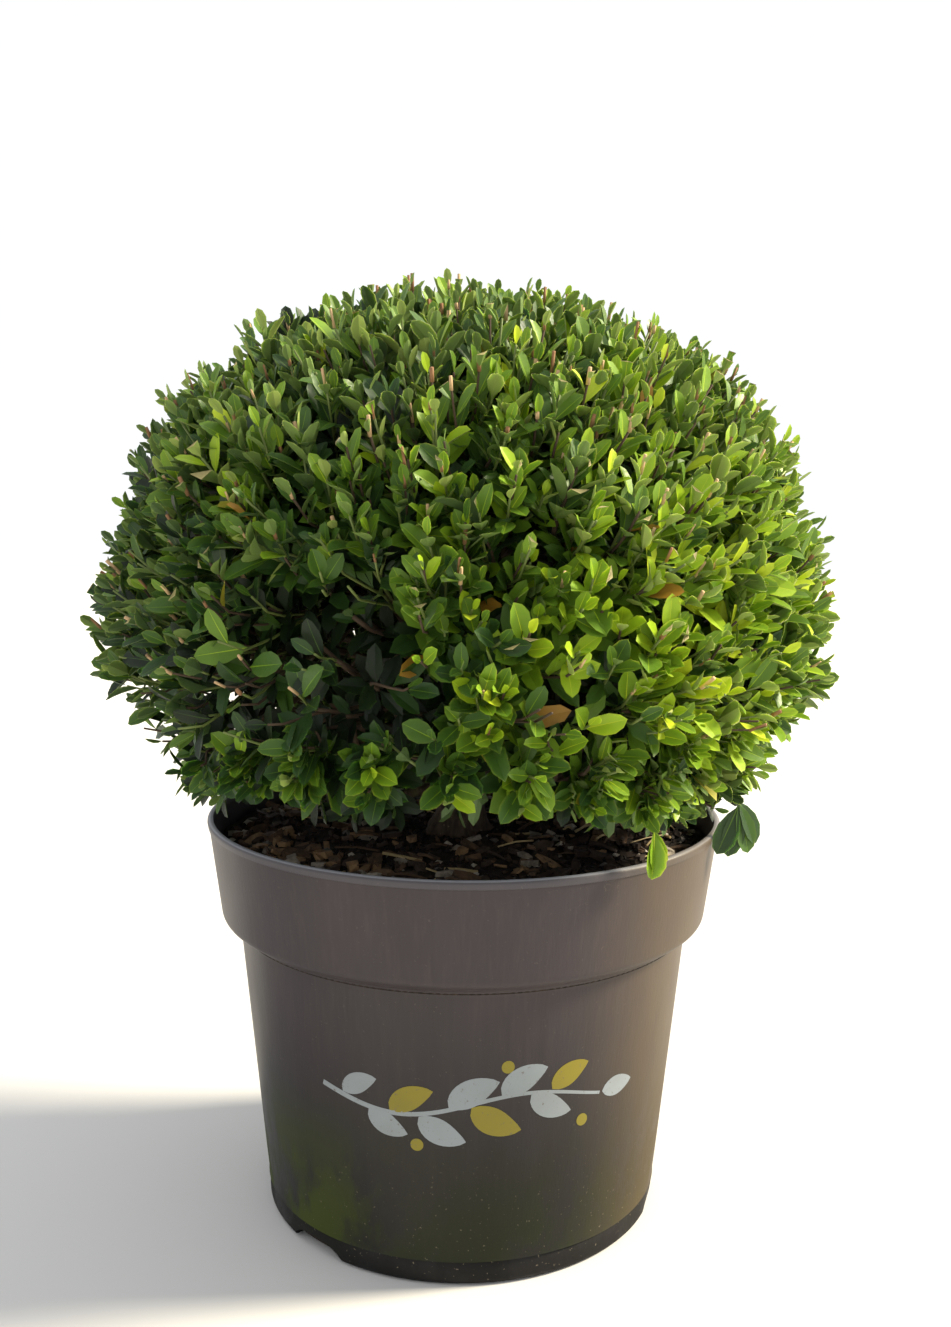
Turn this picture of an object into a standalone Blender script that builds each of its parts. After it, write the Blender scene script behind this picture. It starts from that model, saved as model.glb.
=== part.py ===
"""A Japanese holly clipped into a ball, in its nursery pot.

Metres, +Z up, the front along -Y. The origin is the centre of the pot's flat underside.
A short trunk forks just above the soil. Its main boughs carry the clipped ball, and its low
boughs carry the loose sprays that hang out under the ball, over the pot's rim.
"""

import math
import random

import bmesh
import bpy
from mathutils import Matrix, Vector

SEED = 41
GAP = 0.0003  # between faces that touch on the real plant
UP = Vector((0, 0, 1))
GOLDEN_TURN = math.radians(137.508)
GOLDEN_SHARE = 0.618

# The pot
POT_HEIGHT = 0.2165
RIM_RADIUS = 0.140
RIM_BEAD = 0.0010  # the rolled lip stands out of the collar by this much
RIM_DEPTH = 0.0045
COLLAR_FOOT = (0.1330, 0.1670)  # radius and height where the collar's round step begins
WALL_TOP = (0.1228, 0.1550)
SEAM = (0.1084, 0.0126)
SEAM_STEP = 0.0004
FOOT_ROUND = 0.0035
WALL = 0.0020
FLOOR = 0.0040
ROUND_SIDES = 40
DRAIN_COUNT = 3
DRAIN_TURN = math.radians(226)
DRAIN_HALF_WIDTH = 0.019
DRAIN_HEIGHT = 0.0080
DRAIN_DEPTH = 0.010
DRAIN_STEPS = 8

# The soil
SOIL_TOP = 0.2050
SOIL_FLAT_RADIUS = 0.034
SOIL_EDGE_DROP = 0.0040

# The crown, an upright dome over a shallower bowl
CROWN_CENTRE = Vector((0, 0, 0.300))
CROWN_RADIUS = 0.196
DOME_RISE = 0.200
DOME_POWER = 2.4
BOWL_DROP = 0.100
BOWL_POWER = 2.0
OUTERMOST = 1.025  # leaf tips stop at this share of the crown's reach
SPLIT_HEIGHT = 0.258  # the ball keeps above a wide cone, the low sprays below it
SPLIT_SLOPE = 0.12
SPLIT_GAP = 0.0012
CORE_CENTRE = Vector((0, 0, 0.310))
CORE_RADIUS = 0.158
CORE_RISE = 0.148
CORE_DROP = 0.030

# The trunk and its boughs
TRUNK_FOOT = Vector((-0.004, 0.002, SOIL_TOP + GAP))
TRUNK_TOP = Vector((0.005, -0.002, 0.262))
TRUNK_RADIUS = 0.0118
TRUNK_TIP_RADIUS = 0.0064
FLARE = 0.0055
FLARE_HEIGHT = 0.010
FLARE_LOBES = 5
LOBE_DEPTH = 0.16
TRUNK_SIDES = 15
BOUGH_SIDES = 7
SEAT_LENGTH = 0.0205  # from the trunk's axis to the face where a bough begins
BOUGHS = {"right": 30, "back": 102, "left": 174, "front_left": 246, "front_right": 318}
BOUGH_SEAT_HEIGHT = 0.2430
BOUGH_SLOPE = math.radians(46)
BOUGH_RADII = (0.0047, 0.0034)
BOUGH_REACH = 0.070
BOUGH_TIP_HEIGHT = 0.271
BOUGH_ARRIVAL = math.radians(51)
CENTRE_TIP_HEIGHT = 0.2745
LOW_BOUGHS = {
    "right": 0,
    "back_right": 60,
    "back_left": 120,
    "left": 180,
    "front_left": 240,
    "front_right": 300,
}
LOW_SEAT_HEIGHT = 0.2305
LOW_SLOPE = math.radians(8)
LOW_RADII = (0.0032, 0.0021)
LOW_REACH = 0.088
LOW_TIP_HEIGHT = 0.2385

# Twigs and leaves, the leaves larger than life because there are fewer of them
TWIG_SIDES = 3
TWIG_RADIUS = 0.0020
SHOOT_RADIUS = 0.0015
LEAF_LENGTH = 0.043
LEAF_WIDTH = 0.0200
LEAF_THICKNESS = 0.0020
LEAF_SPREAD = math.radians(48)  # between a leaf and its shoot
LEAF_APART = 0.016
LEAF_DROOP = 0.06  # of its length, at the tip
TIP_LEAF_SIZE = 0.85
TIP_LEAF_LEAN = math.radians(14)
ROOT_SUNK = 0.35  # share of a shoot's radius that a leaf starts behind its middle
SHOOT_STEP = 0.005  # between shoots on one fork
BALL_STEM = 0.024
BALL_FORKS = 48
BALL_SHOOTS = 96
BALL_HABIT = (2, 0.72, 1.0)  # side leaves, bare share and leaf size of each shoot
BALL_LOWEST = -0.08
FORK_SHELL = 0.72  # inside the core, where the forks themselves are hidden
SHOOT_SHELL = 0.855
LOW_STEM = 0.010
LOW_FORKS = 3
LOW_SHOOTS = 10
LOW_HABIT = (3, 0.30, 0.90)
LOW_HALF_ANGLE = math.radians(29)
LOW_FORK_RADIUS = 0.120
LOW_FORK_HEIGHTS = (0.256, 0.240)
LOW_FORK_RISE = 0.15
LOW_SPREAD = (0.62, 0.78, 0.40)  # of the wedge, for forks, shoots and the hanging shoot
LOW_SHOOT_HEIGHTS = (0.268, 0.231)
LOW_SHOOT_SHELL = 0.84
LOW_SHOOT_RISE = (0.40, -0.25)  # from the upper shoots to the lower ones
HANGING_SHOOT = (0.153, 0.2270, -0.9)  # radius, height and slope
RIM_CLEARANCE = 0.0045
LIMB_CLEARANCE = 0.004
HANGING_HEIGHT = 0.196
HANGING_RADIUS = 0.148


def clear_scene():
    for thing in list(bpy.data.objects):
        bpy.data.objects.remove(thing, do_unlink=True)


def principled(name, colour, roughness):
    material = bpy.data.materials.new(name)
    material.use_nodes = True
    shader = material.node_tree.nodes["Principled BSDF"]
    shader.inputs["Base Color"].default_value = (*colour, 1)
    shader.inputs["Roughness"].default_value = roughness
    shader.inputs["Metallic"].default_value = 0.0
    material.diffuse_color = (*colour, 1)
    return material


def object_from(bm, name, material):
    """One object from a finished bmesh, which is freed."""
    bmesh.ops.recalc_face_normals(bm, faces=bm.faces)
    mesh = bpy.data.meshes.new(name)
    bm.to_mesh(mesh)
    bm.free()
    thing = bpy.data.objects.new(name, mesh)
    mesh.materials.append(material)
    bpy.context.scene.collection.objects.link(thing)
    return thing


def outward(degrees):
    turn = math.radians(degrees)
    return Vector((math.cos(turn), math.sin(turn), 0))


# ---- shapes ----


def turned(name, profile, material):
    """A solid of revolution from (radius, height) points that begin and end on the axis."""
    bm = bmesh.new()
    points = [bm.verts.new((radius, 0, height)) for radius, height in profile]
    edges = [bm.edges.new(pair) for pair in zip(points, points[1:])]
    bmesh.ops.spin(
        bm,
        geom=points + edges,
        cent=(0, 0, 0),
        axis=(0, 0, 1),
        angle=math.tau,
        steps=ROUND_SIDES,
        use_merge=True,
    )
    bmesh.ops.remove_doubles(bm, verts=bm.verts, dist=0.00001)
    thing = object_from(bm, name, material)
    thing.data.shade_smooth()
    thing.data.set_sharp_from_angle(angle=math.radians(35))
    return thing


def skin(bm, rings):
    """Closes a row of rings of vertices into one body, with a flat face at each end."""
    for before, ring in zip(rings, rings[1:]):
        for corner in range(len(ring)):
            after = (corner + 1) % len(ring)
            bm.faces.new((before[corner], before[after], ring[after], ring[corner]))
    bm.faces.new(rings[0])
    bm.faces.new(rings[-1])


def limb(name, points, radii, sides, material, ends=(None, None)):
    """A tapering limb with flat ends; ends gives the directions its end faces look along."""
    bm = bmesh.new()
    last = len(points) - 1
    side = (points[1] - points[0]).orthogonal().normalized()
    rings = []
    for step, (point, radius) in enumerate(zip(points, radii)):
        along = points[min(step + 1, last)] - points[max(step - 1, 0)]
        if step == 0 and ends[0]:
            along = ends[0]
        if step == last and ends[1]:
            along = ends[1]
        along = along.normalized()
        side = (side - along * side.dot(along)).normalized()
        other = along.cross(side)
        ring = []
        for corner in range(sides):
            turn = math.tau * corner / sides
            spoke = side * math.cos(turn) + other * math.sin(turn)
            ring.append(bm.verts.new(point + spoke * radius))
        rings.append(ring)
    skin(bm, rings)
    return object_from(bm, name, material)


def curve(start, leave, end, arrive, steps):
    """Points from start to end that set out along leave and come in along arrive."""
    pull = (end - start).length / 3
    first = start + leave * pull
    second = end - arrive * pull
    points = []
    for step in range(steps + 1):
        t = step / steps
        s = 1 - t
        points.append(start * s**3 + first * 3 * s * s * t + second * 3 * s * t * t + end * t**3)
    return points


def taper(first, last, count):
    return [first + (last - first) * step / (count - 1) for step in range(count)]


def leaf_corners(root, along, face, size):
    """Root, tip, both edges, top and underside of one leaf."""
    length = LEAF_LENGTH * size
    across = along.cross(face).normalized() * LEAF_WIDTH * size / 2
    waist = root + along * length * 0.5
    lift = face * LEAF_THICKNESS / 2
    tip = root + along * length - face * length * LEAF_DROOP
    return [root, tip, waist + across, waist - across, waist + lift, waist - lift]


def leaf(corners, material):
    bm = bmesh.new()
    root, tip, left, right, top, under = [bm.verts.new(corner) for corner in corners]
    for pole in (top, under):
        for edge in (left, right):
            bm.faces.new((root, edge, pole))
            bm.faces.new((tip, edge, pole))
    return object_from(bm, "leaf", material)


def largest_body(mesh):
    """Keeps the mesh's largest body: sealed hollows are filled and loose scraps dropped."""
    bm = bmesh.new()
    bm.from_mesh(mesh)
    unseen = set(bm.verts)
    bodies = []
    while unseen:
        waiting = [unseen.pop()]
        body = set(waiting)
        while waiting:
            vert = waiting.pop()
            for edge in vert.link_edges:
                other = edge.other_vert(vert)
                if other in unseen:
                    unseen.discard(other)
                    body.add(other)
                    waiting.append(other)
        bodies.append(body)
    kept = max(bodies, key=len)
    loose = [vert for vert in bm.verts if vert not in kept]
    bmesh.ops.delete(bm, geom=loose, context="VERTS")
    bmesh.ops.triangulate(bm, faces=bm.faces)
    bm.to_mesh(mesh)
    bm.free()


def fused(name, pieces):
    """Joins closed pieces into one body, by one union of the first with all the others."""
    base = pieces[0]
    others = bpy.data.collections.new(name + " pieces")
    bpy.context.scene.collection.children.link(others)
    for piece in pieces[1:]:
        bpy.context.scene.collection.objects.unlink(piece)
        others.objects.link(piece)
    union = base.modifiers.new("Union", "BOOLEAN")
    union.operation = "UNION"
    union.operand_type = "COLLECTION"
    union.collection = others
    union.solver = "EXACT"
    graph = bpy.context.evaluated_depsgraph_get()
    mesh = bpy.data.meshes.new_from_object(base.evaluated_get(graph))
    base.modifiers.remove(union)
    base.data = mesh
    base.name = name
    mesh.name = name
    for piece in pieces[1:]:
        bpy.data.objects.remove(piece, do_unlink=True)
    bpy.data.collections.remove(others)
    largest_body(mesh)


# ---- the crown's shape ----


def reach(direction):
    """How far the crown reaches from its centre in a direction."""
    level = math.hypot(direction.x, direction.y) / CROWN_RADIUS
    if direction.z >= 0:
        power = DOME_POWER
        upright = direction.z / DOME_RISE
    else:
        power = BOWL_POWER
        upright = -direction.z / BOWL_DROP
    return (level**power + upright**power) ** (-1 / power)


def bowl_radius(height):
    """The crown's radius at a height below its widest level."""
    share = (CROWN_CENTRE.z - height) / BOWL_DROP
    return CROWN_RADIUS * math.sqrt(1 - share**BOWL_POWER)


def depth(point):
    """A point's share of the crown's reach: 0 at the centre, 1 on the outline."""
    offset = point - CROWN_CENTRE
    return offset.length / reach(offset.normalized())


def above_split(point):
    return point.z - SPLIT_HEIGHT - SPLIT_SLOPE * math.hypot(point.x, point.y)


def in_ball(points):
    return all(above_split(point) > SPLIT_GAP and depth(point) < OUTERMOST for point in points)


def in_low_sector(points, degrees):
    """Inside one low spray's wedge, under the ball, and clear of the pot and the soil."""
    middle = outward(degrees)
    for point in points:
        level = Vector((point.x, point.y, 0))
        floor = POT_HEIGHT + RIM_CLEARANCE if level.length < HANGING_RADIUS else HANGING_HEIGHT
        if point.z < floor or above_split(point) > -SPLIT_GAP:
            return False
        if level.angle(middle) > LOW_HALF_ANGLE or level.length > CROWN_RADIUS * OUTERMOST:
            return False
    return True


def clear_of(limbs, points):
    return all(
        (point - middle).length > radius + LIMB_CLEARANCE
        for middle, radius in limbs
        for point in points
    )


def spread(count, lowest, chance):
    """Directions spread evenly over the part of a sphere above a height, each a little moved."""
    directions = []
    for number in range(count):
        height = 1 - (1 - lowest) * (number + 0.5) / count
        height = min(0.999, max(lowest, height + chance.uniform(-0.02, 0.02)))
        turn = number * GOLDEN_TURN + chance.uniform(-0.08, 0.08)
        level = math.sqrt(1 - height * height)
        directions.append(Vector((level * math.cos(turn), level * math.sin(turn), height)))
    return directions


# ---- the rule of growth ----


def growing(direction):
    """The way a shoot points on the ball: outwards, turned up towards the light."""
    return (direction + UP * 0.45).normalized()


def nearest(point, ends):
    """The number of the end that lies nearest to a point."""
    return min(range(len(ends)), key=lambda number: (ends[number][0] - point).length)


def leafy_shoot(start, end, arrive, habit, inside, taken, chance, material):
    """A shoot, bare for a share of its length, then with leaves set round it and at its tip.

    A leaf whose middle would come close to one already taken by another shoot is skipped,
    and so is a shoot that keeps no leaf."""
    leaves, bare, leaf_size = habit
    turn = chance.uniform(0, math.tau)
    side = arrive.orthogonal().normalized()
    other = arrive.cross(side)
    pieces = []
    own = []
    for number in range(leaves + 1):
        share = number / leaves
        at_tip = number == leaves
        stem = start.lerp(end, bare + (1 - bare) * share)
        spoke = side * math.cos(turn) + other * math.sin(turn)
        lean = TIP_LEAF_LEAN if at_tip else LEAF_SPREAD * chance.uniform(0.85, 1.15)
        along = (arrive * math.cos(lean) + spoke * math.sin(lean)).normalized()
        face = (arrive * math.sin(lean) - spoke * math.cos(lean)).normalized()
        root = stem - along * SHOOT_RADIUS * ROOT_SUNK
        size = leaf_size * chance.uniform(0.88, 1.08) * (TIP_LEAF_SIZE if at_tip else 1)
        corners = leaf_corners(root, along, face, size)
        middle = (corners[0] + corners[1]) / 2
        apart = all((middle - other_leaf).length > LEAF_APART for other_leaf in taken)
        if apart and inside(corners[1:]):
            pieces.append(leaf(corners, material))
            own.append(middle)
        turn += GOLDEN_TURN
    taken += own
    if own:
        points = [start, end + arrive * SHOOT_RADIUS]
        radii = taper(SHOOT_RADIUS, SHOOT_RADIUS * 0.75, len(points))
        pieces.append(limb("shoot", points, radii, TWIG_SIDES, material))
    return pieces


def mass(name, pieces, stem_ends, forks, shoots, habit, inside, chance, material):
    """Grows forks from the nearest stem and shoots from the nearest fork, and fuses them all.

    stem_ends holds (point, direction) where the stems end; forks and shoots hold the same
    where each fork or shoot is to end. habit holds the leaves on a shoot beside the one at
    its tip, the share of the shoot that is bare, and the size of its leaves."""
    taken = []
    fork_ends = []
    for point, direction in forks:
        start, leave = stem_ends[nearest(point, stem_ends)]
        points = curve(start - leave * TWIG_RADIUS, leave, point, direction, 2)
        if not inside(points[2:]):
            continue
        radii = taper(TWIG_RADIUS, SHOOT_RADIUS * 1.15, len(points))
        pieces.append(limb("twig", points, radii, TWIG_SIDES, material))
        fork_ends.append((point, direction))
    grown = {}
    for point, arrive in shoots:
        number = nearest(point, fork_ends or stem_ends)
        start, leave = (fork_ends or stem_ends)[number]
        start = start - leave * SHOOT_STEP * grown.get(number, 0.4)
        grown[number] = grown.get(number, 0.4) + 1
        pieces += leafy_shoot(start, point, arrive, habit, inside, taken, chance, material)
    fused(name, pieces)


# ---- the parts ----


def make_pot():
    rim = RIM_RADIUS - RIM_BEAD
    step = COLLAR_FOOT[0] - WALL_TOP[0]
    outside = [
        (0, 0),
        (SEAM[0] - FOOT_ROUND, 0),
        (SEAM[0] - FOOT_ROUND * 0.3, FOOT_ROUND * 0.3),
        (SEAM[0], FOOT_ROUND),
        SEAM,
        (SEAM[0] + SEAM_STEP, SEAM[1] + SEAM_STEP),
        WALL_TOP,
        (WALL_TOP[0] + step * 0.22, WALL_TOP[1] + step * 0.42),
        (WALL_TOP[0] + step * 0.70, WALL_TOP[1] + step * 0.62),
        (COLLAR_FOOT[0] - step * 0.06, WALL_TOP[1] + step * 0.82),
        COLLAR_FOOT,
        (rim, POT_HEIGHT - RIM_DEPTH),
        (RIM_RADIUS, POT_HEIGHT - RIM_DEPTH * 0.7),
        (RIM_RADIUS, POT_HEIGHT - RIM_DEPTH * 0.25),
        (RIM_RADIUS - RIM_BEAD, POT_HEIGHT),
    ]
    inside = [
        (rim - WALL, POT_HEIGHT),
        (rim - WALL, POT_HEIGHT - RIM_DEPTH),
        (COLLAR_FOOT[0] - WALL, COLLAR_FOOT[1] + WALL * 0.5),
        (COLLAR_FOOT[0] - WALL * 1.6, WALL_TOP[1] + step * 0.82 + WALL),
        (WALL_TOP[0] - WALL * 0.4, WALL_TOP[1] + step * 0.55 + WALL),
        (WALL_TOP[0] - WALL, WALL_TOP[1] + WALL * 0.5),
        (SEAM[0] - WALL, SEAM[1]),
        (SEAM[0] - WALL, FLOOR),
        (0, FLOOR),
    ]
    plastic = principled("taupe polypropylene", (0.085, 0.068, 0.062), 0.45)
    pot = turned("pot", outside + inside, plastic)
    cutter = drain_cutter(plastic)
    cut = pot.modifiers.new("Drain arches", "BOOLEAN")
    cut.operation = "DIFFERENCE"
    cut.solver = "EXACT"
    cut.object = cutter
    return [point for point in inside if point[1] < POT_HEIGHT]


def drain_cutter(material):
    """Low arches that open the pot's foot to the side and below."""
    bm = bmesh.new()
    for number in range(DRAIN_COUNT):
        turn = DRAIN_TURN + math.tau * number / DRAIN_COUNT
        out = Vector((math.cos(turn), math.sin(turn), 0))
        across = UP.cross(out)
        ends = []
        for distance in (SEAM[0] - DRAIN_DEPTH, SEAM[0] + DRAIN_DEPTH):
            ring = []
            for corner in range(DRAIN_STEPS + 1):
                swing = math.pi * corner / DRAIN_STEPS
                place = out * distance + across * DRAIN_HALF_WIDTH * math.cos(swing)
                ring.append(bm.verts.new(place + UP * DRAIN_HEIGHT * math.sin(swing)))
            ring.append(bm.verts.new(out * distance - across * DRAIN_HALF_WIDTH - UP * FLOOR))
            ring.append(bm.verts.new(out * distance + across * DRAIN_HALF_WIDTH - UP * FLOOR))
            ends.append(ring)
        skin(bm, ends)
    cutter = object_from(bm, "drain arches", material)
    cutter.hide_render = True
    cutter.display_type = "WIRE"
    return cutter


def make_soil(pot_inside):
    """Fills the pot to just under its rim, with a flat seat for the trunk."""
    rim_point = pot_inside[0]
    foot_point = pot_inside[1]
    edge = SOIL_TOP - SOIL_EDGE_DROP
    share = (edge - foot_point[1]) / (rim_point[1] - foot_point[1])
    edge_radius = foot_point[0] + (rim_point[0] - foot_point[0]) * share - GAP
    wall = [(radius - GAP, height) for radius, height in pot_inside[1:-2]]
    profile = [
        (0, SOIL_TOP),
        (SOIL_FLAT_RADIUS, SOIL_TOP),
        (edge_radius * 0.6, SOIL_TOP - SOIL_EDGE_DROP * 0.25),
        (edge_radius, edge),
        *wall,
        (SEAM[0] - WALL - GAP, FLOOR + GAP),
        (0, FLOOR + GAP),
    ]
    turned("soil", profile, principled("potting mix", (0.020, 0.014, 0.011), 0.95))


def make_trunk(bark):
    """The leaning trunk with its root flare, and a seat for each bough."""
    bm = bmesh.new()
    rise = TRUNK_TOP - TRUNK_FOOT
    rings = []
    for share in (0, 0.10, 0.25, 0.55, 0.80, 1):
        middle = TRUNK_FOOT + rise * share
        flare = math.exp(-share * rise.z / FLARE_HEIGHT)
        radius = TRUNK_RADIUS + (TRUNK_TIP_RADIUS - TRUNK_RADIUS) * share**2 + FLARE * flare
        ring = []
        for corner in range(TRUNK_SIDES):
            turn = math.tau * corner / TRUNK_SIDES
            lobed = radius * (1 + LOBE_DEPTH * flare * math.cos(FLARE_LOBES * turn))
            ring.append(bm.verts.new(middle + Matrix.Rotation(turn, 3, "Z") @ Vector((lobed, 0, 0))))
        rings.append(ring)
    skin(bm, rings)
    pieces = [object_from(bm, "trunk", bark)]
    for degrees, height, slope, radius in seats():
        foot, face, along = seat(degrees, height, slope)
        pieces.append(limb("seat", (foot, face), (radius, radius), BOUGH_SIDES, bark))
    fused("trunk", pieces)


def seats():
    """Degrees, height, slope and radius of every bough's seat on the trunk."""
    for degrees in BOUGHS.values():
        yield degrees, BOUGH_SEAT_HEIGHT, BOUGH_SLOPE, BOUGH_RADII[0]
    for degrees in LOW_BOUGHS.values():
        yield degrees, LOW_SEAT_HEIGHT, LOW_SLOPE, LOW_RADII[0]


def seat(degrees, height, slope):
    """Where a bough's seat starts inside the trunk and ends, and the way it looks."""
    share = (height - TRUNK_FOOT.z) / (TRUNK_TOP.z - TRUNK_FOOT.z)
    start = TRUNK_FOOT.lerp(TRUNK_TOP, share)
    along = outward(degrees) * math.cos(slope) + UP * math.sin(slope)
    return start, start + along * SEAT_LENGTH, along


def make_bough(name, degrees, seat_at, tip, arrive, radii, bark):
    """One tapering bough from its seat to the mass it carries, where the mass's stem begins."""
    height, slope = seat_at
    foot, face, leave = seat(degrees, height, slope)
    points = curve(face + leave * GAP, leave, tip, arrive, 5)
    limb(name, points, taper(*radii, len(points)), BOUGH_SIDES, bark, (leave, arrive))
    return along_limb(points, radii)


def along_limb(points, radii):
    """Places along a limb with its largest radius, for keeping leaves clear of it."""
    places = []
    for first, second in zip(points, points[1:]):
        for share in (0, 0.33, 0.67):
            places.append((first.lerp(second, share), radii[0]))
    return places


def main_boughs(bark):
    """The boughs that carry the ball; gives their tips with directions, and their places."""
    tips = []
    places = []
    for name, degrees in BOUGHS.items():
        out = outward(degrees)
        tip = out * BOUGH_REACH + UP * BOUGH_TIP_HEIGHT
        arrive = out * math.cos(BOUGH_ARRIVAL) + UP * math.sin(BOUGH_ARRIVAL)
        seat_at = (BOUGH_SEAT_HEIGHT, BOUGH_SLOPE)
        places += make_bough("bough_" + name, degrees, seat_at, tip, arrive, BOUGH_RADII, bark)
        tips.append((tip, arrive))
    foot = TRUNK_TOP + UP * GAP
    tip = Vector((foot.x, foot.y, CENTRE_TIP_HEIGHT))
    limb("bough_centre", (foot, tip), (TRUNK_TIP_RADIUS, BOUGH_RADII[0]), BOUGH_SIDES, bark)
    tips.append((tip, UP))
    return tips, places


def make_ball(tips, limbs, chance):
    leaves = principled("ball leaves", (0.060, 0.120, 0.024), 0.42)
    pieces = [make_core(leaves)]
    for tip, direction in tips:
        radius = BOUGH_RADII[0] if direction == UP else BOUGH_RADII[1]
        points = (tip + direction * GAP, tip + direction * BALL_STEM)
        pieces.append(limb("stem", points, (radius, radius), BOUGH_SIDES, leaves))
    forks = []
    for direction in spread(BALL_FORKS, BALL_LOWEST, chance):
        forks.append((CROWN_CENTRE + direction * reach(direction) * FORK_SHELL, direction))
    shoots = []
    for direction in spread(BALL_SHOOTS, BALL_LOWEST, chance):
        shell = SHOOT_SHELL + chance.uniform(-0.03, 0.02)
        shoots.append((CROWN_CENTRE + direction * reach(direction) * shell, growing(direction)))

    def inside(points):
        return in_ball(points) and clear_of(limbs, points)

    mass("ball", pieces, forks, [], shoots, BALL_HABIT, inside, chance, leaves)


def make_core(material):
    """The dense inside of the clipped ball, a dome with a flatter underside."""
    bm = bmesh.new()
    bmesh.ops.create_icosphere(bm, subdivisions=3, radius=1)
    for vert in bm.verts:
        direction = vert.co.normalized()
        rise = CORE_RISE if direction.z > 0 else CORE_DROP
        level = math.hypot(direction.x, direction.y) / CORE_RADIUS
        length = (level**DOME_POWER + (abs(direction.z) / rise) ** DOME_POWER) ** (-1 / DOME_POWER)
        vert.co = CORE_CENTRE + direction * length
    return object_from(bm, "core", material)


def make_low_spray(name, degrees, limbs, bark, chance):
    """A low bough and the loose spray of foliage that it carries out under the ball."""
    out = outward(degrees)
    tip = out * LOW_REACH + UP * LOW_TIP_HEIGHT
    arrive = (out + UP * 0.10).normalized()
    seat_at = (LOW_SEAT_HEIGHT, LOW_SLOPE)
    label = "low_bough_" + name
    limbs = limbs + make_bough(label, degrees, seat_at, tip, arrive, LOW_RADII, bark)
    leaves = principled("low leaves " + name, (0.045, 0.105, 0.022), 0.42)
    stem_end = tip + arrive * LOW_STEM
    points = (tip + arrive * GAP, stem_end)
    pieces = [limb("stem", points, (LOW_RADII[1], TWIG_RADIUS), BOUGH_SIDES, leaves)]
    forks = []
    for number in range(LOW_FORKS):
        swing = ((number + 0.5) / LOW_FORKS * 2 - 1) * LOW_SPREAD[0]
        height = LOW_FORK_HEIGHTS[number % 2]
        forks.append(low_end(degrees, swing, LOW_FORK_RADIUS, height, LOW_FORK_RISE))
    shoots = []
    for number in range(LOW_SHOOTS):
        swing = ((number * GOLDEN_SHARE) % 1 * 2 - 1) * LOW_SPREAD[1]
        share = (number + 0.5) / LOW_SHOOTS
        height = LOW_SHOOT_HEIGHTS[0] + (LOW_SHOOT_HEIGHTS[1] - LOW_SHOOT_HEIGHTS[0]) * share
        rise = LOW_SHOOT_RISE[0] + (LOW_SHOOT_RISE[1] - LOW_SHOOT_RISE[0]) * share
        radius = bowl_radius(height) * (LOW_SHOOT_SHELL + chance.uniform(-0.03, 0.03))
        shoots.append(low_end(degrees, swing, radius, height, rise))
    swing = chance.uniform(-LOW_SPREAD[2], LOW_SPREAD[2])
    shoots.append(low_end(degrees, swing, *HANGING_SHOOT))

    def inside(points):
        return in_low_sector(points, degrees) and clear_of(limbs, points)

    stems = [(stem_end, arrive)]
    label = "low_spray_" + name
    mass(label, pieces, stems, forks, shoots, LOW_HABIT, inside, chance, leaves)


def low_end(degrees, swing, radius, height, rise):
    """A place in a low spray's wedge and the way a twig points there.

    swing is a share of the wedge's half angle, and rise the slope of the twig."""
    out = outward(degrees + swing * math.degrees(LOW_HALF_ANGLE))
    return out * radius + UP * height, (out + UP * rise).normalized()


def main():
    clear_scene()
    chance = random.Random(SEED)
    bark = principled("holly bark", (0.130, 0.095, 0.066), 0.85)
    make_soil(make_pot())
    make_trunk(bark)
    tips, limbs = main_boughs(bark)
    make_ball(tips, limbs, chance)
    for name, degrees in LOW_BOUGHS.items():
        make_low_spray(name, degrees, limbs, bark, chance)


main()
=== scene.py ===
"""The looks of a Japanese holly clipped into a ball, in its nursery pot.

Metres, +Z up, the front along -Y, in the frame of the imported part. The solids stay as they are,
and finer pieces stand for them: the pot with its lip, collar and foot, the peat with its bark
mulch, the barked wood, and a crown that grows on from the boughs by the source's own rule.
"""

import math
import random

import bmesh
import bpy
import numpy as np
from mathutils import Euler, Matrix, Vector, noise
from mathutils.kdtree import KDTree


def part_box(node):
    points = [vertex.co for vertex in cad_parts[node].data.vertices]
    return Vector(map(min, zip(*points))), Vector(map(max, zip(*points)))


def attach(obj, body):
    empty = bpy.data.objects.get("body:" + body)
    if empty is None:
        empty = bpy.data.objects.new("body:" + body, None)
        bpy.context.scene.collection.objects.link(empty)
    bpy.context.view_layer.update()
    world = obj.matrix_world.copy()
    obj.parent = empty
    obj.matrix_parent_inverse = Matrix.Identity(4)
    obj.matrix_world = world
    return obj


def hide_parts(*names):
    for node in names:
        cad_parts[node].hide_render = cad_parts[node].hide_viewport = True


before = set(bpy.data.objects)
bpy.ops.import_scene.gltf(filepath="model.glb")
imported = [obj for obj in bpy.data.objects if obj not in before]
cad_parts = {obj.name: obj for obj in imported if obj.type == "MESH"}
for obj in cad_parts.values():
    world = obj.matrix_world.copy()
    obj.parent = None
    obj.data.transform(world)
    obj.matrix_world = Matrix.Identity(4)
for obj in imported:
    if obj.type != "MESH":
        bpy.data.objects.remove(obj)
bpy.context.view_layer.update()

BODY = "root"
SEED = 41
UP = Vector((0, 0, 1))
GOLDEN_TURN = math.radians(137.508)
GOLDEN_SHARE = 0.618

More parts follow.
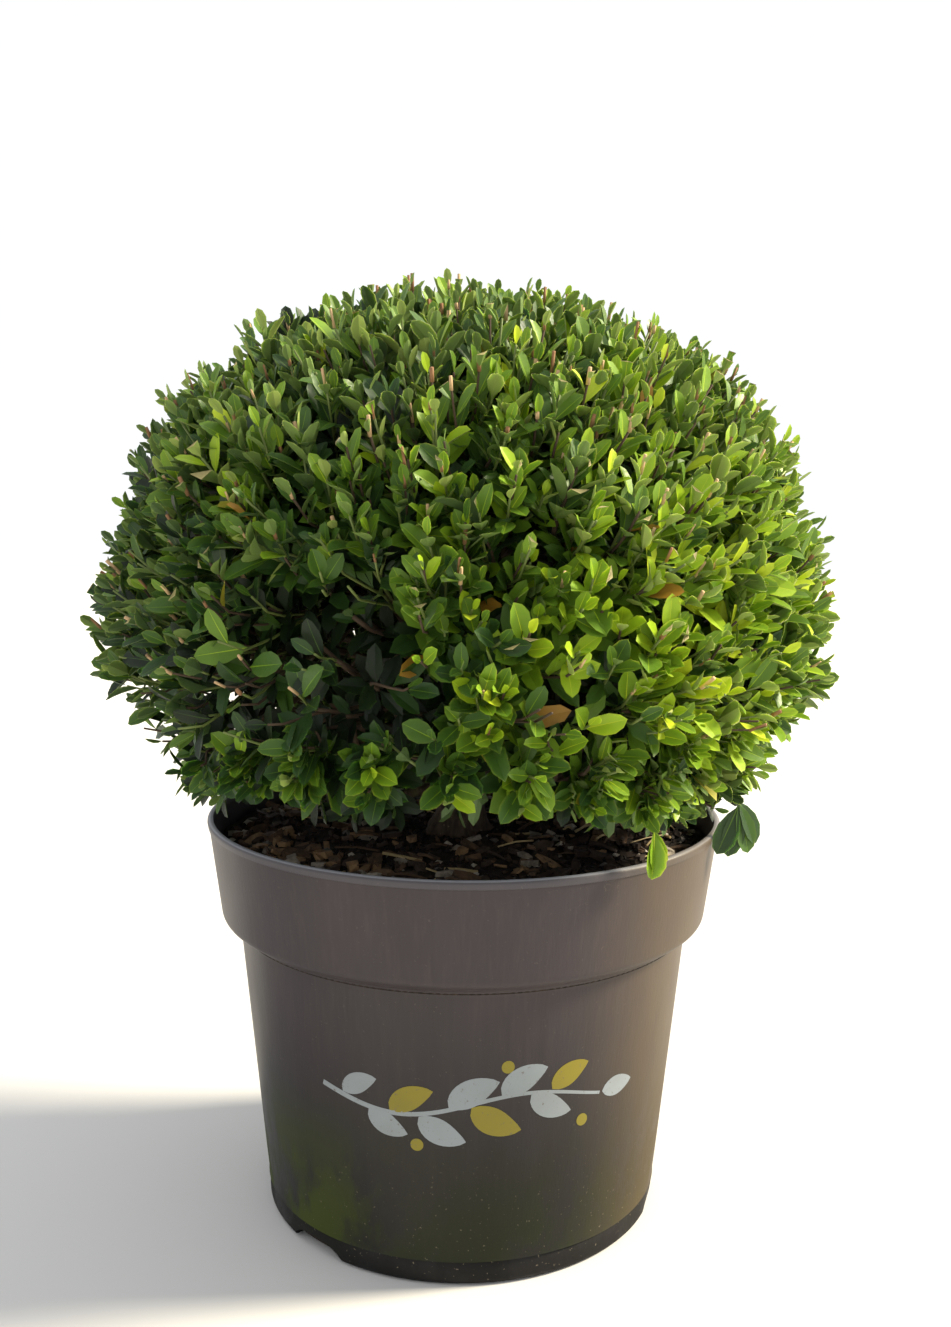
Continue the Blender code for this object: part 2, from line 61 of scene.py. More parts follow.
# The pot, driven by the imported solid's box
POT_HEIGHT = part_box("pot")[1].z
RIM_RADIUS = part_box("pot")[1].x
RIM_BEAD = 0.0010
RIM_DEPTH = 0.0045
COLLAR_FOOT = (0.1330, 0.1670)  # radius and height where the collar's round step ends
WALL_TOP = (0.1228, 0.1550)
SEAM = (0.1084, 0.0126)
SEAM_STEP = 0.0004
FOOT_ROUND = 0.0035
WALL = 0.0020
FLOOR = 0.0040
ROUND_SIDES = 240
DRAIN_COUNT = 3
DRAIN_TURN = math.radians(226)
DRAIN_HALF_WIDTH = 0.019
DRAIN_HEIGHT = 0.0080
DRAIN_DEPTH = 0.010

# The soil
SOIL_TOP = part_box("soil")[1].z
SOIL_RADIUS = 0.1355
SOIL_EDGE_DROP = 0.0040

# The crown, an upright dome over a shallower bowl
CROWN_CENTRE = Vector((0, 0, 0.300))
CROWN_RADIUS = 0.196
DOME_RISE = 0.200
DOME_POWER = 2.4
BOWL_DROP = 0.100
BOWL_POWER = 2.0
SPLIT_HEIGHT = 0.258
SPLIT_SLOPE = 0.12

# The trunk and its boughs, as in the solids
TRUNK_FOOT = Vector((-0.004, 0.002, SOIL_TOP))
TRUNK_TOP = Vector((0.005, -0.002, 0.262))
TRUNK_RADIUS = 0.0118
TRUNK_TIP_RADIUS = 0.0064
FLARE = 0.0055
FLARE_HEIGHT = 0.010
FLARE_LOBES = 5
LOBE_DEPTH = 0.16
TRUNK_SUNK = 0.004  # how far it goes down into the peat
TRUNK_SIDES = 48
TRUNK_RINGS = 44
TRUNK_RELIEF = 0.0009
BOUGHS = {"right": 30, "back": 102, "left": 174, "front_left": 246, "front_right": 318}
BOUGH_SEAT_HEIGHT = 0.2430
BOUGH_SLOPE = math.radians(46)
BOUGH_RADII = (0.0047, 0.0034)
BOUGH_REACH = 0.070
BOUGH_TIP_HEIGHT = 0.271
BOUGH_ARRIVAL = math.radians(51)
CENTRE_TIP_HEIGHT = 0.2745
LOW_BOUGHS = {
    "right": 0,
    "back_right": 60,
    "back_left": 120,
    "left": 180,
    "front_left": 240,
    "front_right": 300,
}
LOW_SEAT_HEIGHT = 0.2305
LOW_SLOPE = math.radians(8)
LOW_RADII = (0.0032, 0.0021)
LOW_REACH = 0.088
LOW_TIP_HEIGHT = 0.2385


# ---- finishes ----


def linear(code):
    """A colour written as sRGB hex, in linear light."""
    parts = [int(code[start : start + 2], 16) / 255 for start in (1, 3, 5)]
    light = [p / 12.92 if p <= 0.04045 else ((p + 0.055) / 1.055) ** 2.4 for p in parts]
    return (*light, 1.0)


def add(tree, kind, inputs=None, **settings):
    """Adds one node: settings are its own, inputs are values or the outputs that feed it."""
    made = tree.nodes.new(kind)
    for key, value in settings.items():
        setattr(made, key, value)
    for key, value in (inputs or {}).items():
        if isinstance(value, bpy.types.NodeSocket):
            tree.links.new(value, made.inputs[key])
        else:
            made.inputs[key].default_value = value
    return made


def blank(name, colour, roughness, ior=1.46):
    """A material with its plain shader, ready for more nodes."""
    material = bpy.data.materials.new(name)
    material.use_nodes = True
    shader = material.node_tree.nodes["Principled BSDF"]
    shader.inputs["Base Color"].default_value = linear(colour)
    shader.inputs["Roughness"].default_value = roughness
    shader.inputs["IOR"].default_value = ior
    material.diffuse_color = linear(colour)
    return material, material.node_tree, shader


def ramp(tree, factor, stops):
    """A colour ramp of (place, sRGB hex) stops."""
    made = add(tree, "ShaderNodeValToRGB", {"Fac": factor})
    band = made.color_ramp
    while len(band.elements) < len(stops):
        band.elements.new(0.5)
    for element, (place, code) in zip(band.elements, stops):
        element.position = place
        element.color = linear(code)
    return made.outputs["Color"]


def mask(tree, value, low, high, floor=0.0, top=1.0):
    """Turns a value between low and high into a share between floor and top."""
    inputs = {"Value": value, "From Min": low, "From Max": high, "To Min": floor, "To Max": top}
    made = add(tree, "ShaderNodeMapRange", inputs, interpolation_type="SMOOTHSTEP")
    return made.outputs["Result"]


def blend(tree, share, first, second):
    """Mixes two colours by a share."""
    inputs = {0: share, 6: first, 7: second}
    return add(tree, "ShaderNodeMix", inputs, data_type="RGBA").outputs[2]


def layered(tree, colour, layers):
    """Lays (share, sRGB hex) layers over a colour, one after another."""
    for share, code in layers:
        colour = blend(tree, share, colour, linear(code))
    return colour


def times(tree, first, second, how="MULTIPLY"):
    """Multiplies two values, or combines them in another way that the node knows."""
    return add(tree, "ShaderNodeMath", {0: first, 1: second}, operation=how).outputs[0]


def grain(tree, place, scale, detail=4.0, stretch=(1, 1, 1), roughness=0.55):
    """Noise with features about 1/scale metres across, drawn out by the stretch."""
    drawn_out = add(tree, "ShaderNodeVectorMath", {0: place, 1: stretch}, operation="MULTIPLY")
    inputs = {"Vector": drawn_out.outputs[0], "Scale": scale, "Detail": detail}
    inputs["Roughness"] = roughness
    return add(tree, "ShaderNodeTexNoise", inputs).outputs["Fac"]


def relief(tree, shader, height, distance, strength):
    """Relief too fine to model, up to distance metres deep."""
    inputs = {"Height": height, "Distance": distance, "Strength": strength}
    made = add(tree, "ShaderNodeBump", inputs)
    tree.links.new(made.outputs["Normal"], shader.inputs["Normal"])


def here(tree):
    """The place on the piece, in metres: its object's origin is the part's origin."""
    return add(tree, "ShaderNodeTexCoord").outputs["Object"]


def weathered_polypropylene():
    """Recycled taupe polypropylene, injection moulded with a satin face, then left outdoors.

    The eye sees fine upright flow streaks, a wall that grows darker towards the bottom, dust and
    pale scuffs, green algae that has crept up from the foot, and ochre sediment dried on the
    front-right that also paints the warmth of the key's light there. Painted shade darkens the
    lower left wall further; the foot is painted almost black, for its dirt and its shade; and a
    painted reflection of the sky lightens the lip and draws a pale line along its top edge."""
    material, tree, shader = blank("weathered taupe polypropylene", "#342e30", 0.46, 1.49)
    shader.inputs["Specular IOR Level"].default_value = 0.25
    place = here(tree)
    axes = add(tree, "ShaderNodeSeparateXYZ", {"Vector": place})
    side, back, height = axes.outputs["X"], axes.outputs["Y"], axes.outputs["Z"]
    broad = grain(tree, place, 11, 3.0, (1, 1, 0.5))
    taupe = ramp(tree, broad, [(0.30, "#363033"), (0.52, "#3c3639"), (0.75, "#433b3d")])
    streaks = grain(tree, place, 420, 2.0, (1, 1, 0.03))
    dark_streaks = grain(tree, place, 190, 3.0, (1, 1, 0.03))
    lip_foot = POT_HEIGHT - RIM_DEPTH
    # Painted reflection of the sky: the lip band a little lighter and bluish, and a pale line along
    # its top edge.
    lip = mask(tree, height, lip_foot - 0.0002, lip_foot + 0.0008)
    lip_top_painted_highlight = mask(tree, height, POT_HEIGHT - 0.0009, POT_HEIGHT - 0.0003)
    foot = mask(tree, height, SEAM[1] + 0.0006, SEAM[1] - 0.0006)
    patches = grain(tree, place, 34, 6.0, (1, 1, 0.6), 0.62)
    runs = grain(tree, place, 60, 4.0, (1, 1, 0.12))
    # The wall grows darker towards the bottom, in runs.
    damp = times(tree, times(tree, runs, 0.030), height, "SUBTRACT")
    low_down = mask(tree, height, 0.105, 0.010)
    algae = times(tree, low_down, mask(tree, patches, 0.36, 0.58))
    to_left = mask(tree, side, -0.02, -0.085, 0.22)
    # Ochre sediment on the front-right, laid on so broadly that it also paints the warmth of the
    # key's light on that side.
    to_right = times(tree, mask(tree, side, 0.050, 0.118), mask(tree, back, 0.110, -0.060))
    silt_and_painted_sunlight = times(tree, to_right, mask(tree, patches, 0.25, 0.75, 0.46, 0.70))
    specks = mask(tree, grain(tree, place, 620, 2.0), 0.68, 0.74)
    dust = times(tree, specks, mask(tree, height, 0.070, 0.012, 0.25))
    scuffs = mask(tree, grain(tree, place, 90, 5.0, (1, 1, 5.0), 0.7), 0.74, 0.80)
    scuffs = times(tree, scuffs, mask(tree, height, 0.150, 0.170, 0.25))
    wander = times(tree, grain(tree, place, 55, 2.0, (1, 1, 2.4), 0.5), 0.5, "SUBTRACT")
    scratches = mask(tree, times(tree, wander, 0, "ABSOLUTE"), 0.0022, 0.0)
    scratched = mask(tree, grain(tree, place, 19, 3.0), 0.56, 0.66)
    scratched = times(tree, scratched, mask(tree, side, 0.0, 0.08, 0.12))
    scratches = times(tree, times(tree, scratches, scratched), mask(tree, height, 0.150, 0.178))
    layers = (
        (mask(tree, streaks, 0.45, 0.80, 0, 0.12), "#5e544e"),
        (mask(tree, dark_streaks, 0.50, 0.80, 0, 0.16), "#272324"),
        (times(tree, lip, 0.42), "#5a595f"),
        (times(tree, lip_top_painted_highlight, 0.65), "#a0a3ac"),
        (mask(tree, damp, -0.185, 0.002, 0, 0.92), "#0d0e09"),
        # Painted shade: the lower wall on the left, away from the key, darkened further.
        (times(tree, times(tree, low_down, to_left), 0.32), "#0d0e09"),
        (times(tree, times(tree, algae, to_left), 0.85), "#3a4410"),
        (silt_and_painted_sunlight, "#594a32"),
        # The foot below the seam near-black: dirt, and painted shade.
        (times(tree, foot, 0.94), "#0d0b0c"),
        (times(tree, dust, 0.45), "#857a66"),
        (times(tree, scuffs, 0.4), "#81766c"),
        (times(tree, scratches, 0.6), "#a89a86"),
    )
    tree.links.new(layered(tree, taupe, layers), shader.inputs["Base Color"])
    gloss = mask(tree, broad, 0.3, 0.7, 0.38, 0.54)
    tree.links.new(times(tree, gloss, times(tree, algae, 0.3), "ADD"), shader.inputs["Roughness"])
    fine = times(tree, grain(tree, place, 900, 2.0, (1, 1, 0.25)), times(tree, algae, 0.8), "ADD")
    relief(tree, shader, fine, 0.00012, 0.5)
    return material


def printing_ink(name, colour, worn):
    """Screen-printed ink on the wall: flat and opaque, a little chalky, rubbed off in specks."""
    material, tree, shader = blank(name, colour, 0.55, 1.50)
    place = here(tree)
    rubbed = grain(tree, place, 420, 5.0, (1, 1, 1), 0.7)
    faded = grain(tree, place, 40, 3.0)
    layers = (
        (mask(tree, faded, 0.35, 0.75, 0, 0.35), worn),
        (mask(tree, rubbed, 0.60, 0.68, 0.0, 0.75), "#554c47"),
    )
    tree.links.new(layered(tree, linear(colour), layers), shader.inputs["Base Color"])
    relief(tree, shader, rubbed, 0.00005, 0.4)
    return material


def damp_peat():
    """Damp peat compost: nearly black, matt, crumbly, with paler fibres where it has dried."""
    wet, dry = "#120d0a", "#4b3d31"
    material, tree, shader = blank("damp peat", wet, 0.93, 1.40)
    place = here(tree)
    crumbs = grain(tree, place, 420, 6.0, (1, 1, 1), 0.7)
    colour = ramp(tree, crumbs, [(0.35, wet), (0.60, "#2b211b"), (0.80, dry)])
    dried = mask(tree, grain(tree, place, 60, 3.0), 0.55, 0.75, 0, 0.35)
    tree.links.new(layered(tree, colour, [(dried, dry)]), shader.inputs["Base Color"])
    relief(tree, shader, crumbs, 0.0010, 0.9)
    return material


def mulch(name, dark, light):
    """Chipped pine bark: split along its fibre, so each chip is striped and its ends are rough."""
    material, tree, shader = blank(name, dark, 0.85, 1.45)
    fibre = grain(tree, here(tree), 240, 5.0, (1, 0.4, 1), 0.65)
    stripes = ramp(tree, fibre, [(0.30, dark), (0.70, light)])
    tree.links.new(stripes, shader.inputs["Base Color"])
    relief(tree, shader, fibre, 0.0006, 0.8)
    return material


def holly_bark():
    """Smooth grey-brown bark of a young holly: fine upright cracks and small pale pores."""
    material, tree, shader = blank("holly bark", "#46382c", 0.82, 1.45)
    place = here(tree)
    cracks = grain(tree, place, 260, 6.0, (1, 1, 0.22), 0.65)
    colour = ramp(tree, cracks, [(0.28, "#211913"), (0.52, "#46382b"), (0.78, "#6b5a46")])
    pores = mask(tree, grain(tree, place, 520, 1.0, (1, 1, 1.4)), 0.70, 0.76, 0, 0.7)
    moss = mask(tree, grain(tree, place, 45, 4.0), 0.56, 0.72, 0, 0.45)
    colour = layered(tree, colour, [(pores, "#8a7b62"), (moss, "#4a4f2c")])
    tree.links.new(colour, shader.inputs["Base Color"])
    relief(tree, shader, cracks, 0.0005, 0.8)
    return material


def plant_skin(name, colour, roughness, bump_scale, bump_depth):
    """A plain colour with living surface: its roughness and its fine relief come from grain."""
    material, tree, shader = blank(name, colour, roughness, 1.45)
    cells = grain(tree, here(tree), bump_scale, 3.0)
    dulled = mask(tree, cells, 0.3, 0.7, roughness - 0.07, roughness + 0.10)
    tree.links.new(dulled, shader.inputs["Roughness"])
    relief(tree, shader, cells, bump_depth, 0.5)
    return material


# Holly leaves have a waxy, fairly glossy upper face, and a paler, duller underside. The greens run
# from old leaves deep in the crown to this year's soft ones, and are also dealt by place as
# painted light and painted shade.
UPPER_GREENS = {
    "deep": "#14220f",
    "dark": "#264019",
    "mature": "#3c5a1d",
    "green": "#53721d",
    "fresh": "#6d8d1c",
    "young": "#8ca81e",
    "lime": "#aebf28",
}
UNDER_GREENS = {"shaded": "#4a6036", "dull": "#667c40", "pale": "#8c9e52"}
OLD_LEAVES = {"yellow": "#96902c", "orange": "#956f22"}
DRY_LEAF = {"edge": "#a39a68"}
TONES = len(UPPER_GREENS)
OLD_FIRST = TONES + len(UNDER_GREENS)
DRY_SLOT = OLD_FIRST + len(OLD_LEAVES)


def let_light_through(finish):
    """A thin leaf glows when the sun is behind it, most in the yellow-green."""
    shader = finish.node_tree.nodes["Principled BSDF"]
    shader.inputs["Subsurface Weight"].default_value = 0.27
    shader.inputs["Subsurface Radius"].default_value = (0.8, 1.0, 0.25)
    shader.inputs["Subsurface Scale"].default_value = 0.0004
    shader.inputs["Specular IOR Level"].default_value = 0.35


def leaf_finishes():
    """Every leaf material in the order that the slot numbers use."""
    kinds = (
        ("holly leaf ", UPPER_GREENS, 0.43, 700, 0.00010),
        ("leaf underside ", UNDER_GREENS, 0.52, 900, 0.00008),
        ("old leaf ", OLD_LEAVES, 0.50, 700, 0.00010),
        ("dry leaf ", DRY_LEAF, 0.70, 900, 0.00010),
    )
    finishes = []
    for title, shades, *surface in kinds:
        for word, colour in shades.items():
            finishes.append(plant_skin(title + word, colour, *surface))
    for finish in finishes[:OLD_FIRST]:
        let_light_through(finish)
    return finishes


GREEN_STEM, BROWN_STEM, CUT_END, DRY_STUB = range(4)


def stem_finishes():
    """This year's green stems, older brown twigs, pale cut wood, and dried stubs."""
    return [
        plant_skin("young holly stem", "#66743a", 0.50, 900, 0.00010),
        plant_skin("brown holly twig", "#4a3b2c", 0.78, 700, 0.00025),
        plant_skin("cut twig end", "#c0a077", 0.75, 900, 0.00015),
        plant_skin("dried stub", "#8a6544", 0.80, 700, 0.00020),
    ]


# ---- making pieces ----


def placed(name, data):
    """A new object in the scene."""
    thing = bpy.data.objects.new(name, data)
    bpy.context.scene.collection.objects.link(thing)
    return thing


def piece_from(name, mesh, finishes, slot, *nodes):
    """One piece on the plant's body, with all the finishes it is given, which may stand for nodes.
    slot is not used.
    """
    for finish in finishes:
        mesh.materials.append(finish)
    thing = placed(name, mesh)
    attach(thing, BODY)
    if nodes:
        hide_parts(*nodes)
    return thing


def mesh_of(name, points, triangles, slots=None, crease=None):
    """A smooth-shaded mesh from arrays of points, triangles and each triangle's slot."""
    mesh = bpy.data.meshes.new(name)
    count = len(triangles)
    mesh.vertices.add(len(points))
    mesh.vertices.foreach_set("co", np.asarray(points, np.float32).ravel())
    mesh.loops.add(count * 3)
    mesh.loops.foreach_set("vertex_index", np.asarray(triangles, np.int32).ravel())
    mesh.polygons.add(count)
    mesh.polygons.foreach_set("loop_start", np.arange(0, count * 3, 3, dtype=np.int32))
    if slots is not None:
        mesh.polygons.foreach_set("material_index", np.asarray(slots, np.int32))
    mesh.update(calc_edges=True)
    mesh.shade_smooth()
    if crease:
        mesh.set_sharp_from_angle(angle=crease)
    return mesh


def from_bmesh(bm, name, crease):
    bmesh.ops.recalc_face_normals(bm, faces=bm.faces)
    mesh = bpy.data.meshes.new(name)
    bm.to_mesh(mesh)
    bm.free()
    mesh.shade_smooth()
    mesh.set_sharp_from_angle(angle=crease)
    return mesh


def turned(name, profile):
    """A solid of revolution from (radius, height) points that begin and end on the axis."""
    bm = bmesh.new()
    points = [bm.verts.new((radius, 0, height)) for radius, height in profile]
    edges = [bm.edges.new(pair) for pair in zip(points, points[1:])]
    sweep = {"cent": (0, 0, 0), "axis": (0, 0, 1), "angle": math.tau, "steps": ROUND_SIDES}
    bmesh.ops.spin(bm, geom=points + edges, use_merge=True, **sweep)
    bmesh.ops.remove_doubles(bm, verts=bm.verts, dist=0.00001)
    return from_bmesh(bm, name, POT_CREASE)


class Joined:
    """Many small closed shapes of one kind, gathered into one mesh."""

    def __init__(self):
        self.points = []
        self.triangles = []
        self.slots = []
        self.count = 0

    def take(self, points, triangles, slot):
        """Adds a shape; slot is one number, or one for each of its triangles."""
        self.points.append(np.asarray(points, float))
        self.triangles.append(np.asarray(triangles, int) + self.count)
        self.slots.append(np.broadcast_to(slot, len(triangles)))
        self.count += len(points)

    def mesh(self, name, finishes, crease=None):
        """The mesh and the finishes that it really uses."""
        slots = np.concatenate(self.slots)
        used, packed = np.unique(slots, return_inverse=True)
        points, triangles = np.concatenate(self.points), np.concatenate(self.triangles)
        mesh = mesh_of(name, points, triangles, packed, crease)
        return mesh, [finishes[number] for number in used]


def tube_triangles(steps, sides):
    """The triangles of steps + 1 rings of points, closed by the two end points after them."""
    triangles = []
    for low in range(0, steps * sides, sides):
        high = low + sides
        for corner in range(sides):
            after = (corner + 1) % sides
            triangles.append((low + corner, low + after, high + after))
            triangles.append((low + corner, high + after, high + corner))
    end = steps * sides
    foot = end + sides
    for corner in range(sides):
        after = (corner + 1) % sides
        triangles.append((foot, after, corner))
        triangles.append((foot + 1, end + corner, end + after))
    return triangles


def tube(points, radii, sides, cut=0.0):
    """The points and triangles of a closed tapering tube, whose far end bulges by cut."""
    rings = []
    side = (points[1] - points[0]).orthogonal().normalized()
    last = len(points) - 1
    for step, (point, radius) in enumerate(zip(points, radii)):
        along = (points[min(step + 1, last)] - points[max(step - 1, 0)]).normalized()
        side = (side - along * side.dot(along)).normalized()
        other = along.cross(side)
        for corner in range(sides):
            turn = math.tau * corner / sides
            rings.append(point + (side * math.cos(turn) + other * math.sin(turn)) * radius)
    along = (points[-1] - points[-2]).normalized()
    rings += [points[0], points[-1] + along * cut]
    return rings, tube_triangles(last, sides)


def curve(start, leave, end, arrive, steps):
    """Points from start to end that set out along leave and come in along arrive."""
    pull = (end - start).length / 3
    first = start + leave * pull
    second = end - arrive * pull
    points = []
    for step in range(steps + 1):
        t = step / steps
        s = 1 - t
        points.append(start * s**3 + first * 3 * s * s * t + second * 3 * s * t * t + end * t**3)
    return points


def taper(first, last, count):
    return [first + (last - first) * step / (count - 1) for step in range(count)]


def outward(degrees):
    turn = math.radians(degrees)
    return Vector((math.cos(turn), math.sin(turn), 0))


def shaken(most, chance):
    """A small random vector, up to most along each axis."""
    return Vector([chance.uniform(-most, most) for _ in range(3)])


# ---- the pot ----

LIP_STEPS = 8
STEP_STEPS = 16
WALL_STEPS = 10
STEP_STEEPNESS = 8.0  # of the collar's moulded step
STEP_MIDDLE = 0.47
POT_CREASE = math.radians(35)
CUT_CREASE = math.radians(32)
ARCH_STEPS = 20


def wall_radius(height):
    share = (height - SEAM[1]) / (WALL_TOP[1] - SEAM[1])
    foot = SEAM[0] + SEAM_STEP
    return foot + (WALL_TOP[0] - foot) * share


def collar_step():
    """The moulded step from the wall out to the collar, hollow below and round above."""
    rise = COLLAR_FOOT[1] - WALL_TOP[1]
    width = COLLAR_FOOT[0] - WALL_TOP[0]
    start = 1 / (1 + math.exp(STEP_STEEPNESS * STEP_MIDDLE))
    finish = 1 / (1 + math.exp(-STEP_STEEPNESS * (1 - STEP_MIDDLE)))
    for step in range(STEP_STEPS + 1):
        share = step / STEP_STEPS
        swell = 1 / (1 + math.exp(-STEP_STEEPNESS * (share - STEP_MIDDLE)))
        out = (swell - start) / (finish - start)
        yield WALL_TOP[0] + width * out, WALL_TOP[1] + rise * share


def pot_profile():
    """The pot's outline, from its underside's middle up its outside and down its inside."""
    collar = RIM_RADIUS - RIM_BEAD
    lip_foot = POT_HEIGHT - RIM_DEPTH
    outside = [(0, 0), (SEAM[0] - FOOT_ROUND, 0)]
    for step in range(1, LIP_STEPS + 1):
        turn = math.pi / 2 * step / LIP_STEPS
        out = SEAM[0] - FOOT_ROUND * (1 - math.sin(turn))
        outside.append((out, FOOT_ROUND * (1 - math.cos(turn))))
    outside += [
        (SEAM[0], SEAM[1] - 0.0008),
        (SEAM[0] - 0.0003, SEAM[1] - 0.0003),
        (SEAM[0] - 0.0003, SEAM[1]),
        (SEAM[0] + SEAM_STEP + 0.0003, SEAM[1] + SEAM_STEP),
        (SEAM[0] + SEAM_STEP, SEAM[1] + 0.0016),
    ]
    for step in range(1, WALL_STEPS):
        height = SEAM[1] + 0.0016 + (WALL_TOP[1] - SEAM[1] - 0.0016) * step / WALL_STEPS
        outside.append((wall_radius(height), height))
    outside += collar_step()
    for step in range(1, WALL_STEPS):
        share = step / WALL_STEPS
        radius = COLLAR_FOOT[0] + (collar - COLLAR_FOOT[0]) * share
        outside.append((radius, COLLAR_FOOT[1] + (lip_foot - COLLAR_FOOT[1]) * share))
    outside += [(collar, lip_foot), (collar + RIM_BEAD * 0.6, lip_foot + 0.0003)]
    lip = RIM_BEAD + WALL * 0.5
    for step in range(LIP_STEPS + 1):
        turn = math.pi / 2 * step / LIP_STEPS
        out = RIM_RADIUS - lip + lip * math.cos(turn)
        outside.append((out, POT_HEIGHT - lip + lip * math.sin(turn)))
    width = COLLAR_FOOT[0] - WALL_TOP[0]
    inside = [
        (collar - WALL, POT_HEIGHT - 0.0002),
        (collar - WALL - 0.0003, POT_HEIGHT - 0.0010),
        (collar - WALL - 0.0003, POT_HEIGHT - RIM_DEPTH),
        (COLLAR_FOOT[0] - WALL, COLLAR_FOOT[1] + WALL * 0.5),
        (WALL_TOP[0] - WALL * 0.4, WALL_TOP[1] + width * 0.55 + WALL),
        (WALL_TOP[0] - WALL, WALL_TOP[1] + WALL * 0.5),
        (SEAM[0] - WALL, SEAM[1]),
        (SEAM[0] - WALL, FLOOR),
        (0, FLOOR),
    ]
    return outside + inside


def drain_cutter():
    """Low arches that open the pot's foot to the side and below."""
    bm = bmesh.new()
    for number in range(DRAIN_COUNT):
        out = outward(math.degrees(DRAIN_TURN) + 360 * number / DRAIN_COUNT)
        across = UP.cross(out)
        ends = []
        for distance in (SEAM[0] - DRAIN_DEPTH, SEAM[0] + DRAIN_DEPTH):
            ring = []
            for corner in range(ARCH_STEPS + 1):
                swing = math.pi * corner / ARCH_STEPS
                place = out * distance + across * DRAIN_HALF_WIDTH * math.cos(swing)
                ring.append(bm.verts.new(place + UP * DRAIN_HEIGHT * math.sin(swing)))
            ring.append(bm.verts.new(out * distance - across * DRAIN_HALF_WIDTH - UP * FLOOR))
            ring.append(bm.verts.new(out * distance + across * DRAIN_HALF_WIDTH - UP * FLOOR))
            ends.append(ring)
        for corner in range(len(ends[0])):
            after = (corner + 1) % len(ends[0])
            bm.faces.new((ends[0][corner], ends[0][after], ends[1][after], ends[1][corner]))
        bm.faces.new(ends[0])
        bm.faces.new(ends[1])
    return from_bmesh(bm, "drain cutter", math.pi)


def make_pot():
    """The pot with its lip, collar and seamed foot, cut by the drain arches."""
    pot = placed("pot_blank", turned("pot_blank", pot_profile()))
    cutter = placed("drain cutter", drain_cutter())
    cut = pot.modifiers.new("Drain arches", "BOOLEAN")
    cut.operation = "DIFFERENCE"
    cut.solver = "EXACT"
    cut.object = cutter
    graph = bpy.context.evaluated_depsgraph_get()
    mesh = bpy.data.meshes.new_from_object(pot.evaluated_get(graph))
    for thing in (pot, cutter):
        bpy.data.objects.remove(thing, do_unlink=True)
    mesh.materials.clear()
    mesh.set_sharp_from_angle(angle=CUT_CREASE)
    piece_from("nursery_pot", mesh, [weathered_polypropylene()], "pot plastic", "pot")


PRINT_HEIGHT = 0.098  # of the printed sprig's middle above the ground
PRINT_HALF_WIDTH = 0.077
PRINT_WAVE = 0.0055
PRINT_PROUD = 0.00012  # the ink stands out of the wall
PRINT_SUNK = 0.0004
PRINT_LEAF = 0.0285
PRINT_PLUMP = 0.50  # a printed leaf's width for its length
PRINT_LEAVES = 10
PRINT_STEPS = 12
PRINT_BERRY = 0.0032
STEM_STEPS = 40
YELLOW_LEAVES = (2, 5, 8)
BERRY_PLACES = (3, 6, 9)
WHITE_INK, YELLOW_INK = range(2)


def on_wall(across, height, lift):
    """A place on the pot's front wall, from a distance round it and a height."""
    radius = wall_radius(height)
    turn = -math.pi / 2 + across / radius
    out = Vector((math.cos(turn), math.sin(turn), 0))
    return out * (radius + lift) + UP * height


def print_strip(ink, middle_line, half_widths, slot):
    """A printed band along a line of (across, height) points, as a thin closed plate."""
    points = []
    last = len(middle_line) - 1
    columns = (-1, -0.5, 0, 0.5, 1)
    for step, ((across, height), half) in enumerate(zip(middle_line, half_widths)):
        before = middle_line[max(step - 1, 0)]
        after = middle_line[min(step + 1, last)]
        run = Vector((after[0] - before[0], after[1] - before[1])).normalized()
        for lift in (PRINT_PROUD, -PRINT_SUNK):
            for column in columns:
                x = across - run.y * half * column
                points.append(on_wall(x, height + run.x * half * column, lift))
    row = len(columns) * 2
    count = len(columns)
    triangles = []

    def quad(a, b, c, d):
        triangles.extend([(a, b, c), (a, c, d)])

    for step in range(last):
        low, high = step * row, (step + 1) * row
        for column in range(count - 1):
            quad(low + column + 1, low + column, high + column, high + column + 1)
            under_low, under_high = low + count + column, high + count + column
            quad(under_low, under_low + 1, under_high + 1, under_high)
        quad(low, low + count, high + count, high)
        quad(low + row - 1, low + count - 1, high + count - 1, high + row - 1)
    end = last * row
    for column in range(count - 1):
        quad(column, column + 1, column + count + 1, column + count)
        quad(end + column + 1, end + column, end + column + count, end + column + count + 1)
    ink.take(points, triangles, slot)


def print_leaf(ink, foot, lean, length, slot):
    """One printed leaf, from its foot on the stem along a line that bends back to level."""
    line, halves = [], []
    for step in range(PRINT_STEPS + 1):
        share = step / PRINT_STEPS
        bend = lean * (1 - 0.35 * share)
        out = 0.0018 + length * share
        line.append((foot[0] + math.cos(bend) * out, foot[1] + math.sin(bend) * out))
        swell = math.sin(math.pi * share**0.85) ** 0.75
        halves.append(length * PRINT_PLUMP / 2 * swell + 0.00015)
    print_strip(ink, line, halves, slot)


def print_berry(ink, foot, drop):
    """One printed round berry, below or above a place on the stem."""
    line, halves = [], []
    for step in range(PRINT_STEPS + 1):
        turn = math.pi * step / PRINT_STEPS
        line.append((foot[0] + 0.004 - PRINT_BERRY * math.cos(turn), foot[1] - drop))
        halves.append(PRINT_BERRY * math.sin(turn) + 0.00010)
    print_strip(ink, line, halves, YELLOW_INK)


